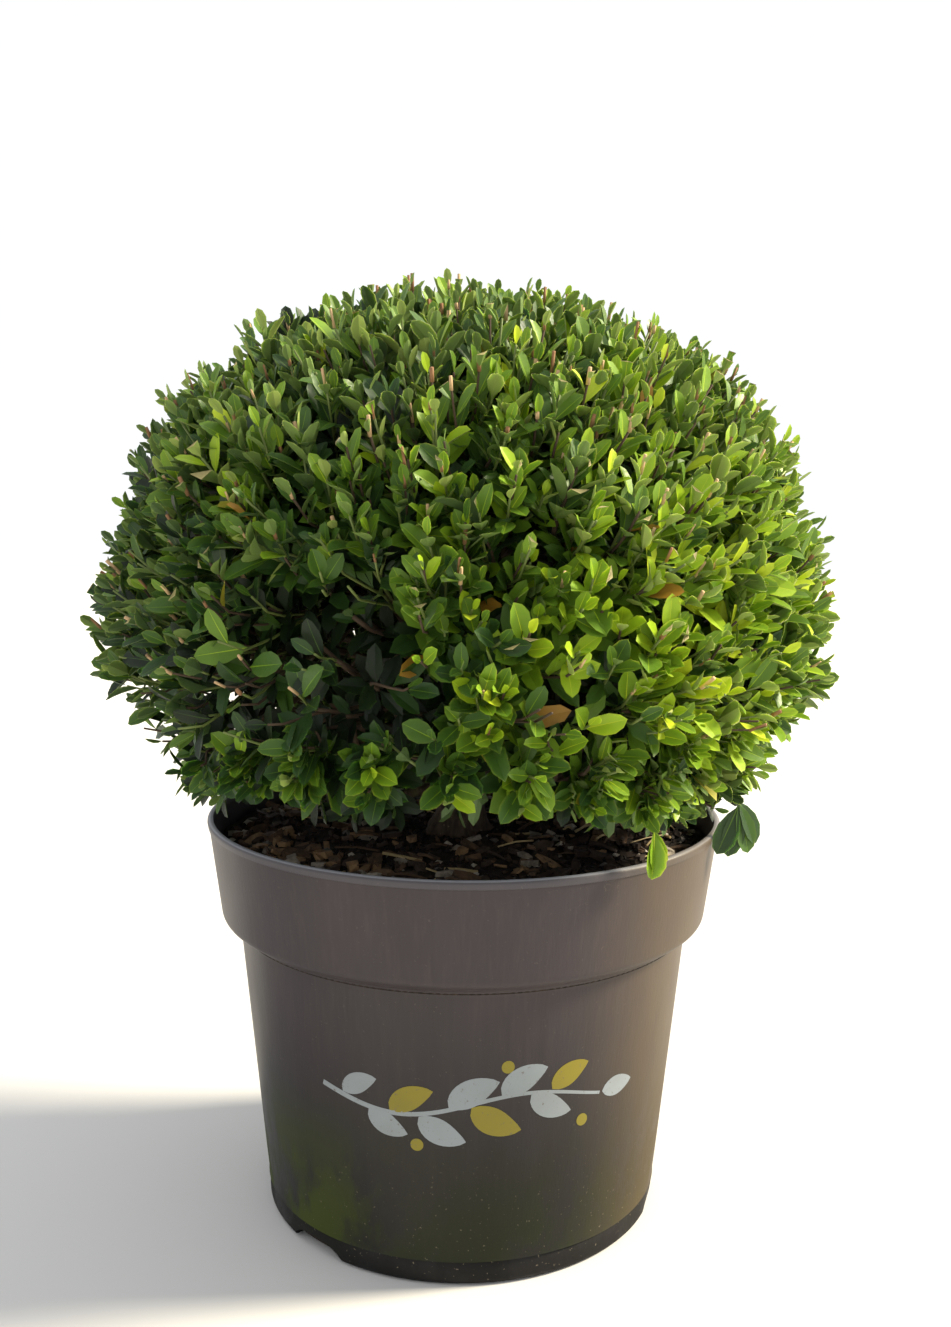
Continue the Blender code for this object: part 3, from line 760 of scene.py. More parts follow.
def make_print():
    """A plain leafy sprig printed on the front, white with some mustard leaves and berries."""
    ink = Joined()
    stem = []
    for step in range(STEM_STEPS + 1):
        share = step / STEM_STEPS * 2 - 1
        height = PRINT_HEIGHT + PRINT_WAVE * math.sin(share * math.pi * 1.15)
        stem.append((share * PRINT_HALF_WIDTH * 0.95, height))
    print_strip(ink, stem, taper(0.0014, 0.0008, len(stem)), WHITE_INK)
    last = PRINT_LEAVES - 1
    for number in range(PRINT_LEAVES):
        foot = stem[-1] if number == last else stem[3 + round(number * (STEM_STEPS - 7) / last)]
        lean = math.radians(4 if number == last else (-46 if number % 2 else 46))
        length = PRINT_LEAF * (1.0 - 0.26 * abs(number / last * 2 - 1))
        slot = YELLOW_INK if number in YELLOW_LEAVES else WHITE_INK
        print_leaf(ink, foot, lean, length, slot)
    for number in BERRY_PLACES:
        foot = stem[4 + round((number - 0.5) * (STEM_STEPS - 6) / last)]
        print_berry(ink, foot, 0.0160 if number % 2 else -0.0160)
    inks = [
        printing_ink("white printing ink", "#7e868b", "#6d706f"),
        printing_ink("mustard printing ink", "#786d08", "#645c16"),
    ]
    mesh, finishes = ink.mesh("printed_sprig", inks, math.radians(40))
    piece_from("printed_sprig", mesh, finishes, "pot plastic")


# ---- the soil ----

PEAT_RINGS = 56
PEAT_SECTORS = 200
CHIPS = 640
CHIP_SHARES = (0.46, 0.28, 0.13, 0.13)  # dark, brown, tan and grey
NUGGET_KINDS = (1, 2, 2, 3)
CHIP_WIDTH = (0.28, 0.55)  # as a share of its length
CHIP_THICKNESS = (0.0012, 0.0034)
GRIT = 260
CRUMBS = 3000
CRUMB_RADIUS = (0.0007, 0.0022)
STRAWS = 90
STRAW_LENGTH = (0.006, 0.024)
STRAW_RADIUS = (0.00035, 0.0009)
NUGGETS = 34
NUGGET_LENGTH = (0.0055, 0.0115)
NUGGET_SPOT = (0.088, 0.126)  # how far out they lie
NUGGET_SIDE = 216  # compass direction where the larger nuggets have gathered


def soil_height(x, y):
    """The peat's surface: lumpy, and falling a little to the pot's wall."""
    radius = math.hypot(x, y)
    fall = SOIL_EDGE_DROP * (radius / SOIL_RADIUS) ** 2
    lumps = noise.noise(Vector((x * 55, y * 55, 3.1))) * 0.0020
    crumbs = noise.noise(Vector((x * 210, y * 210, 7.7))) * 0.0009
    return SOIL_TOP - 0.0010 - fall + lumps + crumbs


def make_peat():
    """The filling of the pot: a lumpy top, and a side and bottom inside the pot's wall."""
    bm = bmesh.new()
    middle = bm.verts.new((0, 0, soil_height(0, 0)))

    def ring(radius, level=None):
        row = []
        for sector in range(PEAT_SECTORS):
            turn = math.tau * sector / PEAT_SECTORS
            x, y = radius * math.cos(turn), radius * math.sin(turn)
            row.append(bm.verts.new((x, y, soil_height(x, y) if level is None else level)))
        return row

    rings = [ring(SOIL_RADIUS * number / PEAT_RINGS) for number in range(1, PEAT_RINGS + 1)]
    lower = ((COLLAR_FOOT[0], 0.172), (WALL_TOP[0], 0.150), SEAM, (SEAM[0], FLOOR + 0.0003))
    rings += [ring(radius - WALL - 0.0006, level) for radius, level in lower]
    bottom = bm.verts.new((0, 0, lower[-1][1]))
    for sector in range(PEAT_SECTORS):
        after = (sector + 1) % PEAT_SECTORS
        bm.faces.new((middle, rings[0][sector], rings[0][after]))
        bm.faces.new((bottom, rings[-1][after], rings[-1][sector]))
        for inner, outer in zip(rings, rings[1:]):
            bm.faces.new((inner[sector], outer[sector], outer[after], inner[after]))
    mesh = from_bmesh(bm, "peat", math.radians(60))
    piece_from("peat", mesh, [damp_peat()], "potting mix", "soil")


BOX_CORNERS = [(x, y, z) for z in (-1, 1) for y in (-1, 1) for x in (-1, 0, 1)]
BOX_FACES = [
    (0, 3, 4, 1),
    (1, 4, 5, 2),
    (6, 7, 10, 9),
    (7, 8, 11, 10),
    (0, 1, 7, 6),
    (1, 2, 8, 7),
    (3, 9, 10, 4),
    (4, 10, 11, 5),
    (0, 6, 9, 3),
    (2, 5, 11, 8),
]


def chip(size, tilt, place, chance):
    """A split chip of bark: a bent slab with broken corners."""
    turn = Euler(tilt).to_matrix()
    bend = chance.uniform(-0.35, 0.35)
    points = []
    for x, y, z in BOX_CORNERS:
        shrink = 1 - 0.45 * abs(x) * chance.random()
        along = x * size[0] * chance.uniform(0.75, 1.1)
        up = z * size[2] * chance.uniform(0.6, 1.1) + bend * size[1] * (1 - abs(x))
        points.append(place + turn @ (Vector((along, y * size[1] * shrink, up)) / 2))
    triangles = []
    for a, b, c, d in BOX_FACES:
        triangles += [(a, b, c), (a, c, d)]
    return points, triangles


def lump(radius, place, flat, chance):
    """A small rounded stone or crumb: an octahedron with each corner moved."""
    points = []
    for x, y, z in ((1, 0, 0), (0, 1, 0), (-1, 0, 0), (0, -1, 0), (0, 0, 1), (0, 0, -1)):
        corner = Vector((x, y, z * flat)) * radius * chance.uniform(0.7, 1.15)
        points.append(place + corner + shaken(1, chance) * radius * 0.25)
    triangles = []
    for corner in range(4):
        after = (corner + 1) % 4
        triangles += [(corner, after, 4), (after, corner, 5)]
    return points, triangles


def on_soil(chance, edge=0.0):
    """A random place on the peat, drawn towards the pot's wall by edge."""
    share = chance.random() ** (0.5 - 0.32 * edge)
    turn = chance.uniform(0, math.tau)
    x = math.cos(turn) * share * (SOIL_RADIUS - 0.006)
    y = math.sin(turn) * share * (SOIL_RADIUS - 0.006)
    return Vector((x, y, soil_height(x, y)))


def strew(things, name, finishes, crease):
    """Makes what has been strewn over the peat into one piece."""
    mesh, used = things.mesh(name, finishes, math.radians(crease))
    piece_from(name, mesh, used, "potting mix")


def make_chips(chance):
    """Bark chips strewn over the peat, and larger nuggets gathered on one side."""
    chips = Joined()
    for _ in range(CHIPS):
        place = on_soil(chance, 0.5)
        kind = chance.choices(range(len(CHIP_SHARES)), CHIP_SHARES)[0]
        length = 0.004 + 0.012 * chance.random() ** 1.8
        size = (length, length * chance.uniform(*CHIP_WIDTH), chance.uniform(*CHIP_THICKNESS))
        tilt = (chance.gauss(0, 0.30), chance.gauss(0, 0.22), chance.uniform(0, math.tau))
        out = math.hypot(place.x, place.y)
        if SOIL_RADIUS - out < length * 0.5:
            place *= (SOIL_RADIUS - length * 0.52) / out
            place.z = soil_height(place.x, place.y)
        place.z += chance.uniform(0.0002, 0.0024)
        chips.take(*chip(size, tilt, place, chance), kind)
    for _ in range(NUGGETS):
        out = outward(NUGGET_SIDE + chance.gauss(0, 20))
        place = out * chance.uniform(*NUGGET_SPOT)
        place.z = soil_height(place.x, place.y) + 0.0016
        long = chance.uniform(*NUGGET_LENGTH)
        size = (long, long * chance.uniform(0.55, 0.85), long * chance.uniform(0.35, 0.6))
        tilt = (chance.gauss(0, 0.25), chance.gauss(0, 0.25), chance.uniform(0, math.tau))
        chips.take(*chip(size, tilt, place, chance), chance.choice(NUGGET_KINDS))
    shades = (
        ("dark bark chip", "#1c1410", "#43342a"),
        ("brown bark chip", "#33261c", "#6b523c"),
        ("tan bark chip", "#5c4630", "#9a7b56"),
        ("grey wood chip", "#5f574c", "#a1978a"),
    )
    strew(chips, "bark_mulch", [mulch(*shade) for shade in shades], 30)


def make_grit(chance):
    """Grit, pale and grey, and crumbs of the peat itself."""
    crumbs = Joined()
    for _ in range(GRIT):
        radius = 0.0008 + 0.0032 * chance.random() ** 2.2
        place = on_soil(chance, 0.4) + UP * radius * 0.4
        crumbs.take(*lump(radius, place, 0.7, chance), 0 if chance.random() < 0.45 else 1)
    for _ in range(CRUMBS):
        radius = chance.uniform(*CRUMB_RADIUS)
        place = on_soil(chance) + UP * radius * 0.3
        crumbs.take(*lump(radius, place, 0.8, chance), 2 if chance.random() < 0.7 else 3)
    stones = [
        plant_skin("pale grit", "#a8a093", 0.80, 600, 0.00030),
        plant_skin("grey grit", "#5e5a55", 0.82, 600, 0.00030),
        plant_skin("peat crumb", "#1c1512", 0.95, 600, 0.00050),
        plant_skin("dry peat crumb", "#3a2c22", 0.95, 600, 0.00050),
    ]
    strew(crumbs, "grit_and_crumbs", stones, 50)


def make_straw(chance):
    """Bits of dry straw and dead twig that stay inside the pot's wall."""
    straws = Joined()
    for _ in range(STRAWS):
        place = on_soil(chance, 0.3)
        turn = chance.uniform(0, math.tau)
        length = chance.uniform(*STRAW_LENGTH)
        rise = chance.uniform(-0.08, 0.22)
        along = Vector((math.cos(turn), math.sin(turn), rise)).normalized()
        foot = place + UP * 0.0012
        end = foot + along * length
        if math.hypot(end.x, end.y) > SOIL_RADIUS - 0.002:
            end = foot - Vector((along.x, along.y, -along.z)) * length
        if math.hypot(end.x, end.y) > SOIL_RADIUS - 0.002:
            continue
        middle = (foot + end) / 2 + Vector((0, 0, chance.uniform(0, 0.0015)))
        radius = chance.uniform(*STRAW_RADIUS)
        straws.take(*tube([foot, middle, end], [radius] * 3, 5), int(chance.random() < 0.45))
    finishes = [
        plant_skin("dry straw", "#a9956c", 0.65, 500, 0.00015),
        plant_skin("dead twig", "#4d3a2a", 0.85, 500, 0.00030),
    ]
    strew(straws, "straw_and_dead_twigs", finishes, 50)


# ---- the wood ----

SEAT_SWELL = {"bough_": 1.12, "low_bough_": 1.15}  # how much thicker a bough sets out
BARK = {"bough_": (18, 0.0005), "low_bough_": (14, 0.0004)}  # a limb's sides, and its relief


def barked(node, points, radii, sides, depth, finish):
    """A limb with the bark's relief: long ridges, knuckles and small scars."""
    rings, triangles = tube(points, radii, sides, radii[-1] * 0.5)
    for number in range(len(points) * sides):
        place = rings[number]
        out = place - points[number // sides]
        ridge = noise.noise(Vector((place.x * 420, place.y * 420, place.z * 90)))
        scar = noise.noise(Vector((place.x * 160, place.y * 160, place.z * 160 + 5)))
        rings[number] = place + out.normalized() * depth * (ridge + 0.8 * scar)
    name = node + "_bark"
    piece_from(name, mesh_of(name, rings, triangles), [finish], "bark", node)


def make_trunk(finish):
    """The short leaning trunk, with its lobed root flare spreading into the peat."""
    rise = TRUNK_TOP - TRUNK_FOOT
    points = []
    for step in range(TRUNK_RINGS + 1):
        height = step / TRUNK_RINGS * (rise.z + TRUNK_SUNK) - TRUNK_SUNK
        middle = TRUNK_FOOT + rise * (height / rise.z)
        flare = math.exp(-max(height, 0) / FLARE_HEIGHT)
        up_share = max(height, 0) / rise.z
        radius = TRUNK_RADIUS + (TRUNK_TIP_RADIUS - TRUNK_RADIUS) * up_share**2 + FLARE * flare
        for corner in range(TRUNK_SIDES):
            turn = math.tau * corner / TRUNK_SIDES
            lobed = radius * (1 + LOBE_DEPTH * flare * math.cos(FLARE_LOBES * turn))
            out = Vector((math.cos(turn), math.sin(turn), 0))
            place = middle + out * lobed
            ridge = noise.noise(Vector((place.x * 300, place.y * 300, place.z * 70)))
            scar = noise.noise(place * 130)
            points.append(place + out * TRUNK_RELIEF * (ridge + scar))
    points += [TRUNK_FOOT - UP * TRUNK_SUNK, TRUNK_TOP + UP * 0.001]
    mesh = mesh_of("trunk_bark", points, tube_triangles(TRUNK_RINGS, TRUNK_SIDES))
    piece_from("trunk_bark", mesh, [finish], "bark", "trunk")


def bough_line(degrees, seat_height, slope, tip, arrive):
    """The line of a bough, from inside the trunk to where its mass begins."""
    share = (seat_height - TRUNK_FOOT.z) / (TRUNK_TOP.z - TRUNK_FOOT.z)
    start = TRUNK_FOOT.lerp(TRUNK_TOP, share)
    leave = outward(degrees) * math.cos(slope) + UP * math.sin(slope)
    return curve(start + leave * 0.004, leave, tip, arrive, 18)


def make_boughs(finish):
    """Every bough with its bark; gives the stem ends that the ball and low sprays grow from."""
    ball_stems, low_stems = {}, {}

    def finish_bough(kind, name, line, arrive, radii, stems):
        sides, depth = BARK[kind]
        barked(kind + name, line, taper(*radii, len(line)), sides, depth, finish)
        stems[name] = (line[-1], arrive, radii[1])

    for name, degrees in BOUGHS.items():
        out = outward(degrees)
        tip = out * BOUGH_REACH + UP * BOUGH_TIP_HEIGHT
        arrive = out * math.cos(BOUGH_ARRIVAL) + UP * math.sin(BOUGH_ARRIVAL)
        line = bough_line(degrees, BOUGH_SEAT_HEIGHT, BOUGH_SLOPE, tip, arrive)
        radii = (BOUGH_RADII[0] * SEAT_SWELL["bough_"], BOUGH_RADII[1])
        finish_bough("bough_", name, line, arrive, radii, ball_stems)
    foot = TRUNK_TOP - UP * 0.003
    tip = Vector((TRUNK_TOP.x, TRUNK_TOP.y, CENTRE_TIP_HEIGHT))
    line = [foot.lerp(tip, step / 6) for step in range(7)]
    radii = (TRUNK_TIP_RADIUS, BOUGH_RADII[0])
    finish_bough("bough_", "centre", line, UP, radii, ball_stems)
    for name, degrees in LOW_BOUGHS.items():
        out = outward(degrees)
        tip = out * LOW_REACH + UP * LOW_TIP_HEIGHT
        arrive = (out + UP * 0.10).normalized()
        line = bough_line(degrees, LOW_SEAT_HEIGHT, LOW_SLOPE, tip, arrive)
        radii = (LOW_RADII[0] * SEAT_SWELL["low_bough_"], LOW_RADII[1])
        finish_bough("low_bough_", name, line, arrive, radii, low_stems)
    return ball_stems, low_stems


# ---- leaves ----

# Along a leaf: share of its length, and share of its half width. A holly leaf narrows to a short
# stalk, is widest past its middle and ends bluntly.
LEAF_STATIONS = ((0.10, 0.11), (0.32, 0.73), (0.60, 1.0), (0.87, 0.68))
LARGE_STATIONS = ((0.09, 0.10), (0.25, 0.57), (0.48, 0.95), (0.72, 0.97), (0.91, 0.60))
INNER_STATIONS = ((0.13, 0.16), (0.44, 0.95), (0.83, 0.72))
CUT_STATIONS = ((0.10, 0.11), (0.33, 0.75), (0.570, 1.0), (0.59, 1.0))
LEAF_THICKNESS = 0.00032
MIDRIB = 0.024  # its half width as a share of the leaf's length
LEAF_SHAPE = 0.44  # a leaf's width for its length
CREASE = math.radians(24)
TOP_SIDE, UNDER_SIDE, CUT_SIDE, RIB_SIDE = range(4)


def leaf_pattern(stations, clipped=False, ribbed=True):
    """A leaf's points as (length share, half width share, rib share, layer), and its triangles.

    Each triangle has its side: top, underside, midrib, or the dried margin of a clipped leaf."""
    points = [(0, 0, 0, 0)]
    rings = []
    for share, width in stations:
        foot = len(points)
        points += [(share, width, 0, 0), (share, -width, 0, 0), (share, 0, 0, -1)]
        if ribbed:
            points += [(share, 0, 1, 1), (share, 0, -1, 1)]
            rings.append((foot, foot + 1, foot + 2, foot + 3, foot + 4))
        else:
            points.append((share, 0, 0, 1))
            rings.append((foot, foot + 1, foot + 2, foot + 3, foot + 3))
    triangles, sides = [], []

    def face(side, *corners):
        for third in range(2, len(corners)):
            triangle = (corners[0], corners[third - 1], corners[third])
            if len(set(triangle)) == 3:
                triangles.append(triangle)
                sides.append(side)

    left, right, under, rib_left, rib_right = rings[0]
    face(TOP_SIDE, 0, rib_left, left)
    face(TOP_SIDE, 0, right, rib_right)
    face(RIB_SIDE, 0, rib_right, rib_left)
    face(UNDER_SIDE, 0, left, under)
    face(UNDER_SIDE, 0, under, right)
    for number, (ring, after) in enumerate(zip(rings, rings[1:])):
        left, right, under, rib_left, rib_right = ring
        dried = clipped and number == len(rings) - 2
        top, rib, below = (CUT_SIDE,) * 3 if dried else (TOP_SIDE, RIB_SIDE, UNDER_SIDE)
        face(top, rib_left, after[3], after[0], left)
        face(top, rib_right, right, after[1], after[4])
        face(rib, rib_right, after[4], after[3], rib_left)
        face(below, under, left, after[0], after[2])
        face(below, under, after[2], after[1], right)
    left, right, under, rib_left, rib_right = rings[-1]
    if clipped:
        face(CUT_SIDE, left, rib_left, rib_right, right, under)
    else:
        tip = len(points)
        points.append((1, 0, 0, 0))
        face(TOP_SIDE, rib_left, tip, left)
        face(TOP_SIDE, rib_right, right, tip)
        face(RIB_SIDE, rib_right, tip, rib_left)
        face(UNDER_SIDE, under, left, tip)
        face(UNDER_SIDE, under, tip, right)
    return np.array(points, float), np.array(triangles), np.array(sides)


LEAF_KINDS = {
    "whole": leaf_pattern(LEAF_STATIONS),
    "large": leaf_pattern(LARGE_STATIONS),
    "clipped": leaf_pattern(CUT_STATIONS, clipped=True),
    "inner": leaf_pattern(INNER_STATIONS, ribbed=False),
}


class Leaves:
    """The leaves of one piece, kept as rows until they are all made at once."""

    def __init__(self):
        self.rows = {kind: [] for kind in LEAF_KINDS}

    def add(self, kind, root, along, face, length, bend, fold, slots):
        """slots are the materials of the leaf's upper side, underside and midrib."""
        self.rows[kind].append((*root, *along, *face, length, bend, fold, *slots))

    def joined(self):
        """All the leaves' points, triangles and slots."""
        gathered = Joined()
        for kind, (points, triangles, sides) in LEAF_KINDS.items():
            if not self.rows[kind]:
                continue
            rows = np.array(self.rows[kind], float)
            root, along, face = rows[:, None, 0:3], rows[:, None, 3:6], rows[:, None, 6:9]
            across = np.cross(face, along)
            length, bend, fold = (rows[:, None, column] for column in (9, 10, 11))
            share, width, rib, layer = (points[None, :, column] for column in range(4))
            half = length * (LEAF_SHAPE / 2 * width + MIDRIB / 2 * rib * (1.15 - share))
            lift = length * bend * share**2 + np.abs(half) * fold
            lift = lift + layer * LEAF_THICKNESS / 2
            made = (
                root
                + along * (length * share)[:, :, None]
                + across * half[:, :, None]
                + face * lift[:, :, None]
            )
            offsets = np.arange(len(rows))[:, None, None] * len(points)
            all_triangles = (triangles[None] + offsets).reshape(-1, 3)
            upper, under, midrib = rows[:, 12:13], rows[:, 13:14], rows[:, 14:15]
            slots = np.where(sides == TOP_SIDE, upper, under)
            slots = np.where(sides == RIB_SIDE, midrib, slots)
            slots = np.where(sides == CUT_SIDE, DRY_SLOT, slots)
            gathered.take(made.reshape(-1, 3), all_triangles, slots.astype(int).ravel())
        return gathered


# ---- the crown's rule of growth ----

# Painted light: sprays on the side that the key lights are dealt lighter greens.
PAINTED_SUN_SIDE = Vector((0.80, -0.22, 0.50)).normalized()
PAINTED_GLOW_SIDE = Vector((0.50, -0.80, 0.15)).normalized()  # where the greens get a painted glow, as of leaves lit through from behind
SWOLLEN_SIDE = Vector((-0.86, -0.10, -0.36)).normalized()  # where the clipping left it fuller
SWELLING = 0.085  # how much further the crown reaches in the middle of that side
SWELLING_FALL = 14  # how fast that fades round the middle


def reach(direction):
    """How far the crown reaches from its centre in a direction."""
    level = math.hypot(direction.x, direction.y) / CROWN_RADIUS
    if direction.z >= 0:
        power = DOME_POWER
        upright = direction.z / DOME_RISE
    else:
        power = BOWL_POWER
        upright = -direction.z / BOWL_DROP
    fuller = SWELLING * max(0.0, direction.dot(SWOLLEN_SIDE)) ** SWELLING_FALL
    return (1 + fuller) * (level**power + upright**power) ** (-1 / power)


def bowl_radius(height):
    """The crown's radius at a height below its widest level."""
    share = (CROWN_CENTRE.z - height) / BOWL_DROP
    return CROWN_RADIUS * math.sqrt(max(0.0, 1 - share**BOWL_POWER))


def depth(point):
    """A point's share of the crown's reach: 0 at the centre, 1 on the outline."""
    offset = point - CROWN_CENTRE
    return offset.length / reach(offset.normalized())


def above_split(point):
    return point.z - SPLIT_HEIGHT - SPLIT_SLOPE * math.hypot(point.x, point.y)


# The lower edge of the foliage by compass direction: high at the front, low over the rim's sides
HEM = {0: 0.220, 45: 0.224, 90: 0.224, 135: 0.226, 180: 0.226, 225: 0.250, 270: 0.258, 315: 0.236}
HEM_STEP = 45
OPEN_PLACES = (
    # compass direction and elevation from the crown's centre, half angle, share that stays, and
    # from which depth on: a hollow keeps its inner leaves, a gap is open right through
    (251, 7, 13, 0.30, 0.80),
    (237, 1, 11, 0.34, 0.80),
    (285, -3, 10, 0.40, 0.82),
    (263, -7, 9, 0.55, 0.82),
    (148, -10, 12, 0.40, 0.0),
    (167, -9, 13, 0.38, 0.0),
    (189, -9, 13, 0.36, 0.0),
    (210, -8, 12, 0.36, 0.0),
    (348, -14, 11, 0.50, 0.7),
    (16, -12, 10, 0.55, 0.7),
)
WAVE = 0.030  # how far the clipped face wanders in and out, as a share of its reach
OUTER_DEPTH = 0.84  # deeper leaves are made of fewer faces
LARGE_LEAF = 0.0180  # longer leaves have a rounder outline
LEAF_LIMIT = 1.03  # no leaf goes further out than this
TIP_LEAN = math.radians(10)
OLD_SHARE = 0.0035  # of the leaves that have turned
ORANGE_SHARE = 0.3  # of those
LEAN_SPREAD = (0.78, 1.22)
SIZE_SPREAD = (0.82, 1.14)
YOUNG_FROM = 0.7  # along a shoot, where its leaves begin to be younger and smaller
YOUNG_PART = 0.3
YOUNG_LOSS = 0.42
SHORTER = 0.82  # of a leaf that would reach out of the crown
FACE_SHAKE = 0.28
LEAF_BEND = (-0.16, 0.05)
LEAF_FOLD = (0.22, 0.55)
MIDDLE_TONE = 2.05
# Painted light: how much lighter the greens are towards the key.
PAINTED_SUN_TONE = 1.15
# Painted glow of leaves lit through from behind, on the front-right.
PAINTED_GLOW_TONE = 1.35
PAINTED_GLOW_FALL = 6  # how fast that painted glow fades round its side
# Painted shade: sprays high on the crown are dealt a little darker greens.
PAINTED_TOP_SHADE = 0.10
SPRAY_SPREAD = 0.88  # of the tone between sprays
LEAF_SPREAD = 0.50  # and between the leaves of one
TIP_TONE = 2.3  # how much lighter a shoot grows along its length
POT_CLEARANCE = 0.004


def hem_at(degrees):
    """The height of the crown's lower edge, blended between the named directions."""
    degrees %= 360
    before = int(degrees // HEM_STEP) * HEM_STEP
    share = (degrees - before) / HEM_STEP
    return HEM[before] * (1 - share) + HEM[(before + HEM_STEP) % 360] * share


def droop(point, chance):
    """How low the leaves of a shoot may hang: a little under the hem, and some much further."""
    hem = hem_at(math.degrees(math.atan2(point.y, point.x)))
    return hem - 0.001 - 0.022 * chance.random() ** 2.2


def thinned(point, chance):
    """True where the crown is left open, low down where little light comes."""
    direction = (point - CROWN_CENTRE).normalized()
    for compass, elevation, half, stay, shallow in OPEN_PLACES:
        rise = math.radians(elevation)
        middle = outward(compass) * math.cos(rise) + UP * math.sin(rise)
        if direction.angle(middle) < math.radians(half) and depth(point) > shallow:
            if chance.random() > stay:
                return True
    return False


def wave(direction):
    """The share of the reach at which the clipped face lies in a direction."""
    broad = noise.noise(direction * 2.6 + Vector((4, 1, 7)))
    fine = noise.noise(direction * 7.5)
    return 1 + WAVE * (broad + 0.7 * fine) - 0.008


def spread(count, lowest, chance, shake=0.02):
    """Directions spread evenly over the part of a sphere above a height, each a little moved."""
    directions = []
    for number in range(count):
        height = 1 - (1 - lowest) * (number + 0.5) / count
        height = min(0.999, max(lowest, height + chance.uniform(-shake, shake)))
        turn = number * GOLDEN_TURN + chance.uniform(-4, 4) * shake
        level = math.sqrt(1 - height * height)
        directions.append(Vector((level * math.cos(turn), level * math.sin(turn), height)))
    return directions


class Limb:
    """A grown twig: its line, its radius, the stem it belongs to, and how many it carries."""

    def __init__(self, points, radius, label):
        self.points = points
        self.radius = radius
        self.label = label
        self.carried = 0

    def seat(self):
        """Where the next twig leaves this one, each a little further back from its end."""
        back = min(0.75, 0.16 * self.carried)
        self.carried += 1
        place = (1 - back) * (len(self.points) - 1)
        step = min(int(place), len(self.points) - 2)
        point = self.points[step].lerp(self.points[step + 1], place - step)
        return point, (self.points[step + 1] - self.points[step]).normalized()


def tree_of(limbs):
    """A search tree of the limbs' ends."""
    found = KDTree(len(limbs))
    for number, limb in enumerate(limbs):
        found.insert(limb.points[-1], number)
    found.balance()
    return found


def grow(parents, targets, radii, sides, steps, stems, slot, chance):
    """Grows a twig to each (point, direction) from the parent whose end is nearest."""
    tree = tree_of(parents)
    grown = []
    for point, arrive in targets:
        parent = parents[tree.find(point)[1]]
        start, way = parent.seat()
        leave = (way + (point - start).normalized() * 0.9).normalized()
        points = curve(start, leave, point, arrive, steps)
        for number in range(1, steps):
            points[number] += shaken(1, chance) * radii[0] * 0.7
        first = min(radii[0], parent.radius)
        stems[parent.label].take(*tube(points, taper(first, radii[1], steps + 1), sides), slot)
        grown.append(Limb(points, radii[1], parent.label))
    return grown


def tone_at(point, chance):
    """The green of a spray by its place, as painted light: lighter towards the key, lighter still
    in a painted glow on the front-right, and a little darker as painted shade where the crown is
    high.
    """
    direction = (point - CROWN_CENTRE).normalized()
    # Painted light towards the key.
    sun = PAINTED_SUN_TONE * direction.dot(PAINTED_SUN_SIDE)
    # Painted glow on the front-right.
    fresh = PAINTED_GLOW_TONE * max(0.0, direction.dot(PAINTED_GLOW_SIDE)) ** PAINTED_GLOW_FALL
    # Painted shade where the crown is high.
    high = PAINTED_TOP_SHADE * direction.z
    return MIDDLE_TONE + sun + fresh - high + chance.gauss(0, SPRAY_SPREAD)


def leaf_slots(tone, chance):
    """The materials of a leaf's upper side, underside and midrib for a tone."""
    upper = int(min(TONES - 1, max(0, round(tone))))
    under = int(min(len(UNDER_GREENS) - 1, max(0, round((tone - 0.6) / 1.9))))
    if chance.random() < OLD_SHARE:
        old = OLD_FIRST + (chance.random() < ORANGE_SHARE)
        return old, old, old
    return upper, TONES + under, min(TONES - 1, upper + 2)


def dress(leaves, line, count, bare, length, tone, habit, chance, free=False):
    """Sets leaves round a shoot by the golden turn, one at its tip, younger towards the tip.

    habit holds how far leaves lean from the shoot at its foot and tip, how much they turn
    their faces up and out to the light, and the share of too long leaves that shears cut. A
    free shoot hangs under the hem."""
    foot_lean, tip_lean, to_light, sheared = habit
    lowest = droop(line[-1], chance)
    turn = chance.uniform(0, math.tau)
    last = len(line) - 1
    for number in range(count + 1):
        share = number / count
        place = (bare + (1 - bare) * share) * last
        step = min(int(place), last - 1)
        stem = line[step].lerp(line[step + 1], place - step)
        way = (line[step + 1] - line[step]).normalized()
        side = way.orthogonal().normalized()
        spoke = side * math.cos(turn) + way.cross(side) * math.sin(turn)
        turn += GOLDEN_TURN
        lean = foot_lean + (tip_lean - foot_lean) * share
        lean = TIP_LEAN if number == count else lean * chance.uniform(*LEAN_SPREAD)
        along = (way * math.cos(lean) + spoke * math.sin(lean)).normalized()
        light = (stem - CROWN_CENTRE).normalized() * 0.55 + UP * 0.75
        face = way * math.sin(lean) - spoke * math.cos(lean) + light * to_light
        face += shaken(FACE_SHAKE, chance)
        face = (face - along * face.dot(along)).normalized()
        young = 1 - YOUNG_LOSS * max(0.0, share - YOUNG_FROM) / YOUNG_PART
        size = length * young * chance.uniform(*SIZE_SPREAD)
        kind = "whole" if depth(stem) > OUTER_DEPTH else "inner"
        if depth(stem + along * size) > 1.0:
            if chance.random() < sheared and share > 0.3:
                kind = "clipped"
            else:
                size *= SHORTER
        if kind == "whole" and size > LARGE_LEAF:
            kind = "large"
        far_end = stem + along * size * (CUT_STATIONS[-1][0] if kind == "clipped" else 1)
        if depth(far_end) > LEAF_LIMIT or not clear_of_pot(stem, far_end):
            continue
        if not free and (far_end.z < lowest or thinned(far_end, chance)):
            continue
        own = tone - 0.35 + TIP_TONE * (share - 0.60) + chance.gauss(0, LEAF_SPREAD)
        bend = chance.uniform(*LEAF_BEND)
        fold = chance.uniform(*LEAF_FOLD)
        leaves.add(kind, stem, along, face, size, bend, fold, leaf_slots(own, chance))


def clear_of_pot(*points):
    """True where a leaf neither enters the pot's rim nor lies in the peat."""
    for point in points:
        radius = math.hypot(point.x, point.y)
        if radius < RIM_RADIUS + POT_CLEARANCE and point.z < POT_HEIGHT + POT_CLEARANCE:
            return False
    return True


# ---- the ball ----

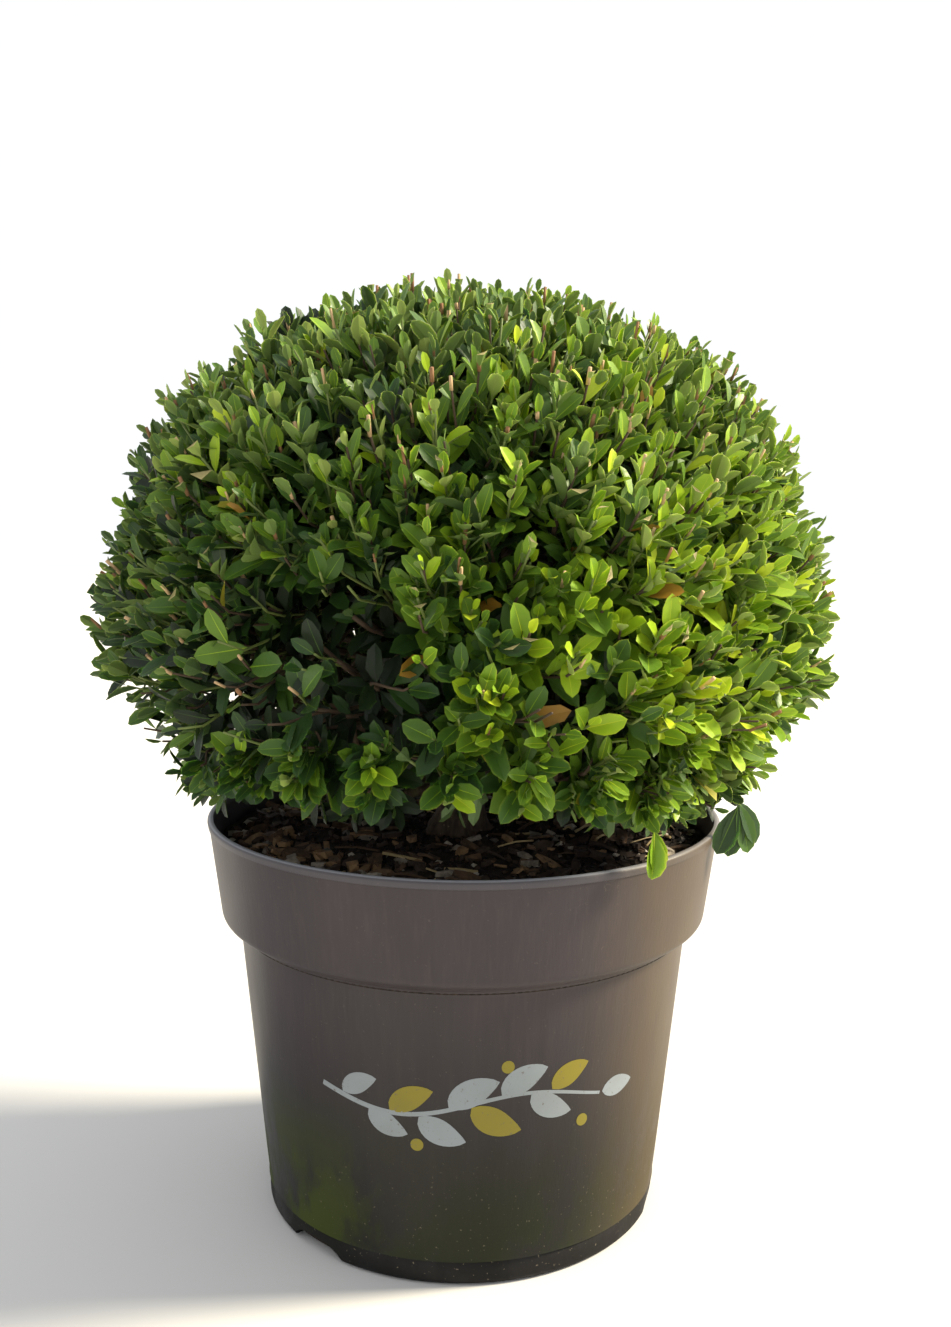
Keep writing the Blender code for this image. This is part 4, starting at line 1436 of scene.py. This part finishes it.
BALL_LEVELS = (
    # how many, shell, radii, sides, rise
    (18, 0.40, (0.0034, 0.0026), 6, 0.30),
    (84, 0.60, (0.0024, 0.0017), 5, 0.35),
    (380, 0.78, (0.0015, 0.0011), 4, 0.40),
)
BALL_SHOOTS = 2380
SHOOT_SHELL = (0.875, 0.985)
SHOOT_RADII = (0.00085, 0.00060)
BALL_LOWEST = -0.30
BALL_LEAF = 0.0172
BALL_HABIT = (math.radians(54), math.radians(27), 0.34, 0.22)
INNER_HABIT = (math.radians(70), math.radians(50), 0.5, 0.0)
DENSE_HEIGHT = 0.22  # directions lower than this carry fewer shoots, with larger leaves
LOOSE_SHARE = 0.20
LOOSE_GROWTH = 1.06
STRONG_SHARE = 0.05  # of the shoots that outgrew the shears, with larger paler leaves
STRONG_SHELL = 0.97
STRONG_GROWTH = 1.18
STRONG_TONE = 0.9
BROWN_SHARE = 0.35  # of the shoots whose stem has turned woody
STUB_LENGTH = (0.003, 0.0095)
STUB_RADIUS = (0.0006, 0.0011)
STUB_LIMIT = 1.02  # no stub goes further out than this
INNER_LEAVES = (9, 0.35, 0.019)  # how many on a twig, its bare share, their length
MIDDLE_LEAVES = (7, 0.40, 0.018)


def sprout(limbs, tree, end, way, lift=0.0, steps=4):
    """A shoot's line from the limb that ends nearest to its own end, and that limb's label."""
    parent = limbs[tree.find(end + UP * lift)[1]]
    start, leave = parent.seat()
    return curve(start, leave, end, way, steps), parent.label


def ball_way(direction, rise, chance):
    """The way a shoot points on the ball: outwards, turned up towards the light."""
    return (direction + UP * rise + shaken(0.16, chance)).normalized()


def grow_inside(ball_stems, stems, leaves, chance):
    """The ball's twigs, level by level out from the boughs, and its dark inner leaves: old leaves,
    whose deep greens are also painted shade of the crown's inside.
    """
    limbs = []
    for name, (tip, arrive, radius) in ball_stems.items():
        line = [tip - arrive * 0.004, tip + arrive * 0.010, tip + arrive * 0.024]
        stems[name].take(*tube(line, [radius, radius, radius * 0.9], 8), BROWN_STEM)
        limbs.append(Limb(line, radius, name))
    levels = []
    for count, shell, radii, sides, rise in BALL_LEVELS:
        targets = []
        for direction in spread(count, BALL_LOWEST, chance):
            point = CROWN_CENTRE + direction * reach(direction) * shell * chance.uniform(0.94, 1.05)
            if above_split(point) > 0:
                targets.append((point, ball_way(direction, rise, chance)))
        limbs = grow(limbs, targets, radii, sides, 4, stems, BROWN_STEM, chance)
        levels.append(limbs)
    # Inner leaves get the darkest greens: older leaves, and painted shade of the crown's inside.
    for limb in levels[1]:
        dress(leaves[limb.label], limb.points, *INNER_LEAVES, -0.4, INNER_HABIT, chance)
    for limb in levels[2]:
        if chance.random() < 0.90:
            tone = chance.uniform(-0.6, 1.0)
            dress(leaves[limb.label], limb.points, *MIDDLE_LEAVES, tone, INNER_HABIT, chance)
    return limbs


def make_ball(ball_stems, leaf_kinds, stem_kinds, chance):
    """The clipped ball's twigs, shoots and leaves: a piece of wood and one of leaves a bough."""
    stems = {name: Joined() for name in ball_stems}
    leaves = {name: Leaves() for name in ball_stems}
    limbs = grow_inside(ball_stems, stems, leaves, chance)
    tree = tree_of(limbs)
    for direction in spread(BALL_SHOOTS, BALL_LOWEST, chance, 0.03):
        if thinned(CROWN_CENTRE + direction * reach(direction), chance):
            continue
        low = direction.z < DENSE_HEIGHT
        if low and chance.random() < LOOSE_SHARE:
            continue
        strong = chance.random() < STRONG_SHARE
        shell = STRONG_SHELL if strong else chance.uniform(*SHOOT_SHELL) * wave(direction)
        end = CROWN_CENTRE + direction * reach(direction) * shell
        if above_split(end) < 0.004:
            continue
        rise = 0.40 + 0.95 * max(0.0, direction.z + 0.15) * chance.uniform(0.6, 1.4)
        way = ball_way(direction, rise, chance)
        line, label = sprout(limbs, tree, end, way)
        stem_of_shoot(stems[label], line, way, direction, chance)
        tone = tone_at(end, chance) + (STRONG_TONE if strong else 0)
        level = math.hypot(direction.x, direction.y)
        length = BALL_LEAF * (1 + 0.12 * level) * chance.uniform(0.86, 1.16)
        length *= STRONG_GROWTH if strong else 1
        length *= LOOSE_GROWTH if low else 1
        count = chance.randrange(8, 12) if direction.z > 0.35 else chance.randrange(7, 10)
        habit = BALL_HABIT if direction.z > 0.15 else (*BALL_HABIT[:3], 0.0)
        dress(leaves[label], line, count, 0.16, length, tone, habit, chance)
    for name in ball_stems:
        finish_mass("ball", name, leaves[name], stems[name], leaf_kinds, stem_kinds, "ball")


def stem_of_shoot(stems, line, way, direction, chance):
    """A shoot's stem, green at its end; on top of the ball many end in a pale clipped stub."""
    radii = taper(*SHOOT_RADII, len(line))
    slot = BROWN_STEM if chance.random() < BROWN_SHARE else GREEN_STEM
    stems.take(*tube(line, radii, 4), slot)
    if chance.random() < 0.12 + 0.46 * max(0.0, direction.z) ** 1.2:
        foot = line[-1] - way * 0.001
        end = foot + way * chance.uniform(*STUB_LENGTH)
        if depth(end) < STUB_LIMIT:
            width = chance.uniform(*STUB_RADIUS)
            kind = DRY_STUB if chance.random() < 0.5 else CUT_END
            stems.take(*tube([foot, end], [width, width * 0.9], 5), kind)


def finish_mass(mass, name, leaves, stems, leaf_kinds, stem_kinds, node):
    """Makes a bough's leaves and its twigs into one piece each."""
    label = mass + "_leaves_" + name
    mesh, finishes = leaves.joined().mesh(label, leaf_kinds, CREASE)
    piece_from(label, mesh, finishes, mass + " foliage", node)
    label = mass + "_twigs_" + name
    mesh, finishes = stems.mesh(label, stem_kinds)
    piece_from(label, mesh, finishes, "bark", node)


# ---- the low sprays ----

LOW_HALF_ANGLE = math.radians(30)
LOW_TWIGS = 5
LOW_TWIG_SPOT = (0.112, 0.128)  # how far out their ends are
LOW_TWIG_RADII = (0.0019, 0.0014)
LOW_TWIG_RISE = (0.030, 0.012)  # of the twigs' ends over the hem
LOW_TWIGLETS = 16
LOW_TWIGLET_SHELL = (0.74, 0.84)
LOW_TWIGLET_RADII = (0.0013, 0.0010)
LOW_SHOOTS = 104
LOW_SHOOT_SHELL = (0.79, 0.935)
LOW_BROWN_SHARE = 0.4
LOW_SHOOTS_TOP = 0.288
LOW_TWIGLETS_TOP = 0.280
LOW_LEAF = 0.0182
DROOPING_LEAVES = (7, 0.30, 0.0185)  # how many on a shoot, its bare share, their length
LOW_HABIT = (math.radians(62), math.radians(34), 0.9, 0.0)


def low_end(degrees, swing, radius, height, rise):
    """A place in a low spray's wedge and the way a twig points there."""
    out = outward(degrees + swing * math.degrees(LOW_HALF_ANGLE))
    return out * radius + UP * height, (out + UP * rise).normalized()


HANGING = {
    # spray: compass direction, distance out, height, leaf length, how many, fan, fold, tone
    "front_right": (-53, 0.1475, 0.2350, 0.0245, 2, 0.10, 0.85, 4.2),
    "right": (-21, 0.1515, 0.2330, 0.0300, 4, 0.34, 0.25, 1.3),
}
HANGING_FACE = -72  # the compass direction that the hanging leaves' upper sides face
DROOPING = {
    # spray: compass direction, distance out and height of each shoot's end under the hem
    "front_left": ((241, 0.112, 0.238), (232, 0.117, 0.241), (252, 0.108, 0.243)),
    "front_right": ((268, 0.110, 0.244), (-50, 0.138, 0.240), (-60, 0.132, 0.241)),
    "left": ((199, 0.141, 0.234), (206, 0.137, 0.237)),
    "right": ((-42, 0.143, 0.238), (-33, 0.147, 0.237), (-26, 0.150, 0.238)),
}


def hang(leaves, stems, limbs, tree, place, chance):
    """A few large old leaves that hang over the pot's rim on a bent shoot."""
    compass, spot, height, size, count, fan_step, fold, tone = place
    out = outward(compass)
    end = out * spot + UP * height
    line, _ = sprout(limbs, tree, end, (out * 0.25 - UP).normalized(), 0.02, 5)
    stems.take(*tube(line, taper(*SHOOT_RADII, len(line)), 4), BROWN_STEM)
    facing = outward(HANGING_FACE)
    across = UP.cross(facing)
    for number in range(count):
        fan = (number - (count - 1) / 2) * fan_step
        along = (-UP + across * fan + out * chance.uniform(0.0, 0.15)).normalized()
        face = (facing + UP * 0.25 + across * fan * 0.6).normalized()
        face = (face - along * face.dot(along)).normalized()
        stem = line[-1] - (line[-1] - line[-2]) * 0.5 * (number / count)
        slots = leaf_slots(tone + chance.uniform(-0.7, 0.7), chance)
        leaves.add("large", stem, along, face, size * chance.uniform(0.88, 1), -0.08, fold, slots)


def low_limbs(name, stem, stems, chance):
    """The twigs of a low spray: a few long ones close over the hem, and many short ones."""
    degrees = LOW_BOUGHS[name]
    tip, arrive, radius = stem
    line = [tip - arrive * 0.003, tip + arrive * 0.004, tip + arrive * 0.010]
    stems[name].take(*tube(line, [radius] * 3, 7), BROWN_STEM)
    hem = hem_at(degrees)
    targets = []
    for number in range(LOW_TWIGS):
        swing = ((number + 0.5) / LOW_TWIGS * 2 - 1) * 0.8
        height = hem + LOW_TWIG_RISE[number % 2] + chance.uniform(-0.003, 0.003)
        targets.append(low_end(degrees, swing, chance.uniform(*LOW_TWIG_SPOT), height, 0.15))
    parents = [Limb(line, radius, name)]
    limbs = grow(parents, targets, LOW_TWIG_RADII, 5, 4, stems, BROWN_STEM, chance)
    targets = []
    for number in range(LOW_TWIGLETS):
        swing = ((number * GOLDEN_SHARE) % 1 * 2 - 1) * 0.92
        drop = hem + 0.010 - LOW_TWIGLETS_TOP
        height = LOW_TWIGLETS_TOP + drop * (number + 0.5) / LOW_TWIGLETS
        spot = bowl_radius(height) * chance.uniform(*LOW_TWIGLET_SHELL)
        targets.append(low_end(degrees, swing, spot, height, chance.uniform(-0.1, 0.4)))
    return limbs + grow(limbs, targets, LOW_TWIGLET_RADII, 4, 4, stems, BROWN_STEM, chance)


def make_low_spray(name, stem, leaf_kinds, stem_kinds, chance):
    """The loose spray that one low bough carries out under the ball, over the pot's rim."""
    degrees = LOW_BOUGHS[name]
    stems = {name: Joined()}
    leaves = Leaves()
    limbs = low_limbs(name, stem, stems, chance)
    tree = tree_of(limbs)
    for number in range(LOW_SHOOTS):
        swing = ((number * GOLDEN_SHARE * 0.97) % 1 * 2 - 1) * 1.02
        share = (number + 0.5) / LOW_SHOOTS
        hem = hem_at(degrees + swing * math.degrees(LOW_HALF_ANGLE))
        height = LOW_SHOOTS_TOP + (hem + 0.002 - LOW_SHOOTS_TOP) * share
        spot = bowl_radius(height) * chance.uniform(*LOW_SHOOT_SHELL)
        rise = 0.55 - 0.50 * share + chance.uniform(-0.20, 0.20)
        end, way = low_end(degrees, swing, spot, height, rise)
        if not clear_of_pot(end) or thinned(end, chance):
            continue
        line, _ = sprout(limbs, tree, end, way)
        slot = BROWN_STEM if chance.random() < LOW_BROWN_SHARE else GREEN_STEM
        stems[name].take(*tube(line, taper(*SHOOT_RADII, len(line)), 4), slot)
        tone = tone_at(end, chance) + 0.10
        length = LOW_LEAF * chance.uniform(0.85, 1.18)
        dress(leaves, line, chance.randrange(6, 10), 0.25, length, tone, LOW_HABIT, chance)
    for compass, spot, height in DROOPING.get(name, ()):
        end, way = low_end(compass, 0, spot, height, -0.4)
        line, _ = sprout(limbs, tree, end, way, 0.01)
        stems[name].take(*tube(line, taper(*SHOOT_RADII, len(line)), 4), BROWN_STEM)
        tone = tone_at(end, chance) - 1.2
        dress(leaves, line, *DROOPING_LEAVES, tone, LOW_HABIT, chance, free=True)
    if name in HANGING:
        hang(leaves, stems[name], limbs, tree, HANGING[name], chance)
    node = "low_spray_" + name
    finish_mass("low", name, leaves, stems[name], leaf_kinds, stem_kinds, node)


# ---- the studio ----

FLOOR_RADIUS = 6.0
CAMERA_PLACE = (0, -0.720, 0.392)
CAMERA_PITCH = math.radians(7.48)
CAMERA_YAW = math.radians(-0.44)
CAMERA_ROLL = math.radians(0.56)
LENS = 35.95
KEY_STRENGTH = 8.8
KEY_WIDTH = math.radians(13)
KEY_COLOUR = (1.0, 0.90, 0.70)
KEY_FROM = Vector((0.80, 0.10, 0.54))
SURROUND_COLOUR = (0.965, 0.98, 1.0, 1)
SURROUND_STRENGTH = 1.04


def make_floor():
    """A broad pale sheet of studio floor, painted with matt emulsion."""
    bm = bmesh.new()
    bmesh.ops.create_circle(bm, cap_ends=True, segments=128, radius=FLOOR_RADIUS)
    bmesh.ops.translate(bm, verts=bm.verts, vec=(0, 0, -0.0002))
    mesh = bpy.data.meshes.new("studio_floor")
    bm.to_mesh(mesh)
    bm.free()
    material, tree, shader = blank("matt pale emulsion", "#cdccca", 0.90)
    relief(tree, shader, grain(tree, here(tree), 120, 3.0), 0.0002, 0.2)
    mesh.materials.append(material)
    placed("studio_floor", mesh)


def make_lights():
    """A warm key from high on the right, and an even pale surround."""
    key = bpy.data.lights.new("key", "SUN")
    key.energy = KEY_STRENGTH
    key.angle = KEY_WIDTH
    key.color = KEY_COLOUR
    placed("key", key).rotation_euler = KEY_FROM.to_track_quat("Z", "Y").to_euler()
    world = bpy.data.worlds.new("pale surround")
    world.use_nodes = True
    background = world.node_tree.nodes["Background"]
    background.inputs["Color"].default_value = SURROUND_COLOUR
    background.inputs["Strength"].default_value = SURROUND_STRENGTH
    bpy.context.scene.world = world


def make_camera():
    data = bpy.data.cameras.new("camera")
    data.sensor_width = 36
    data.lens = LENS
    data.clip_start = 0.05
    thing = placed("camera", data)
    thing.location = CAMERA_PLACE
    turn = Matrix.Rotation(CAMERA_YAW, 3, "Z")
    turn = turn @ Matrix.Rotation(math.pi / 2 - CAMERA_PITCH, 3, "X")
    turn = turn @ Matrix.Rotation(CAMERA_ROLL, 3, "Z")
    thing.rotation_euler = turn.to_euler()
    bpy.context.scene.camera = thing


def main():
    chance = random.Random(SEED)
    make_pot()
    make_print()
    make_peat()
    make_chips(chance)
    make_grit(chance)
    make_straw(chance)
    bark = holly_bark()
    make_trunk(bark)
    ball_stems, low_stems = make_boughs(bark)
    leaf_kinds = leaf_finishes()
    stem_kinds = stem_finishes()
    make_ball(ball_stems, leaf_kinds, stem_kinds, chance)
    for name, stem in low_stems.items():
        make_low_spray(name, stem, leaf_kinds, stem_kinds, chance)
    make_floor()
    make_lights()
    make_camera()
    bpy.context.scene.view_settings.view_transform = "Standard"


main()
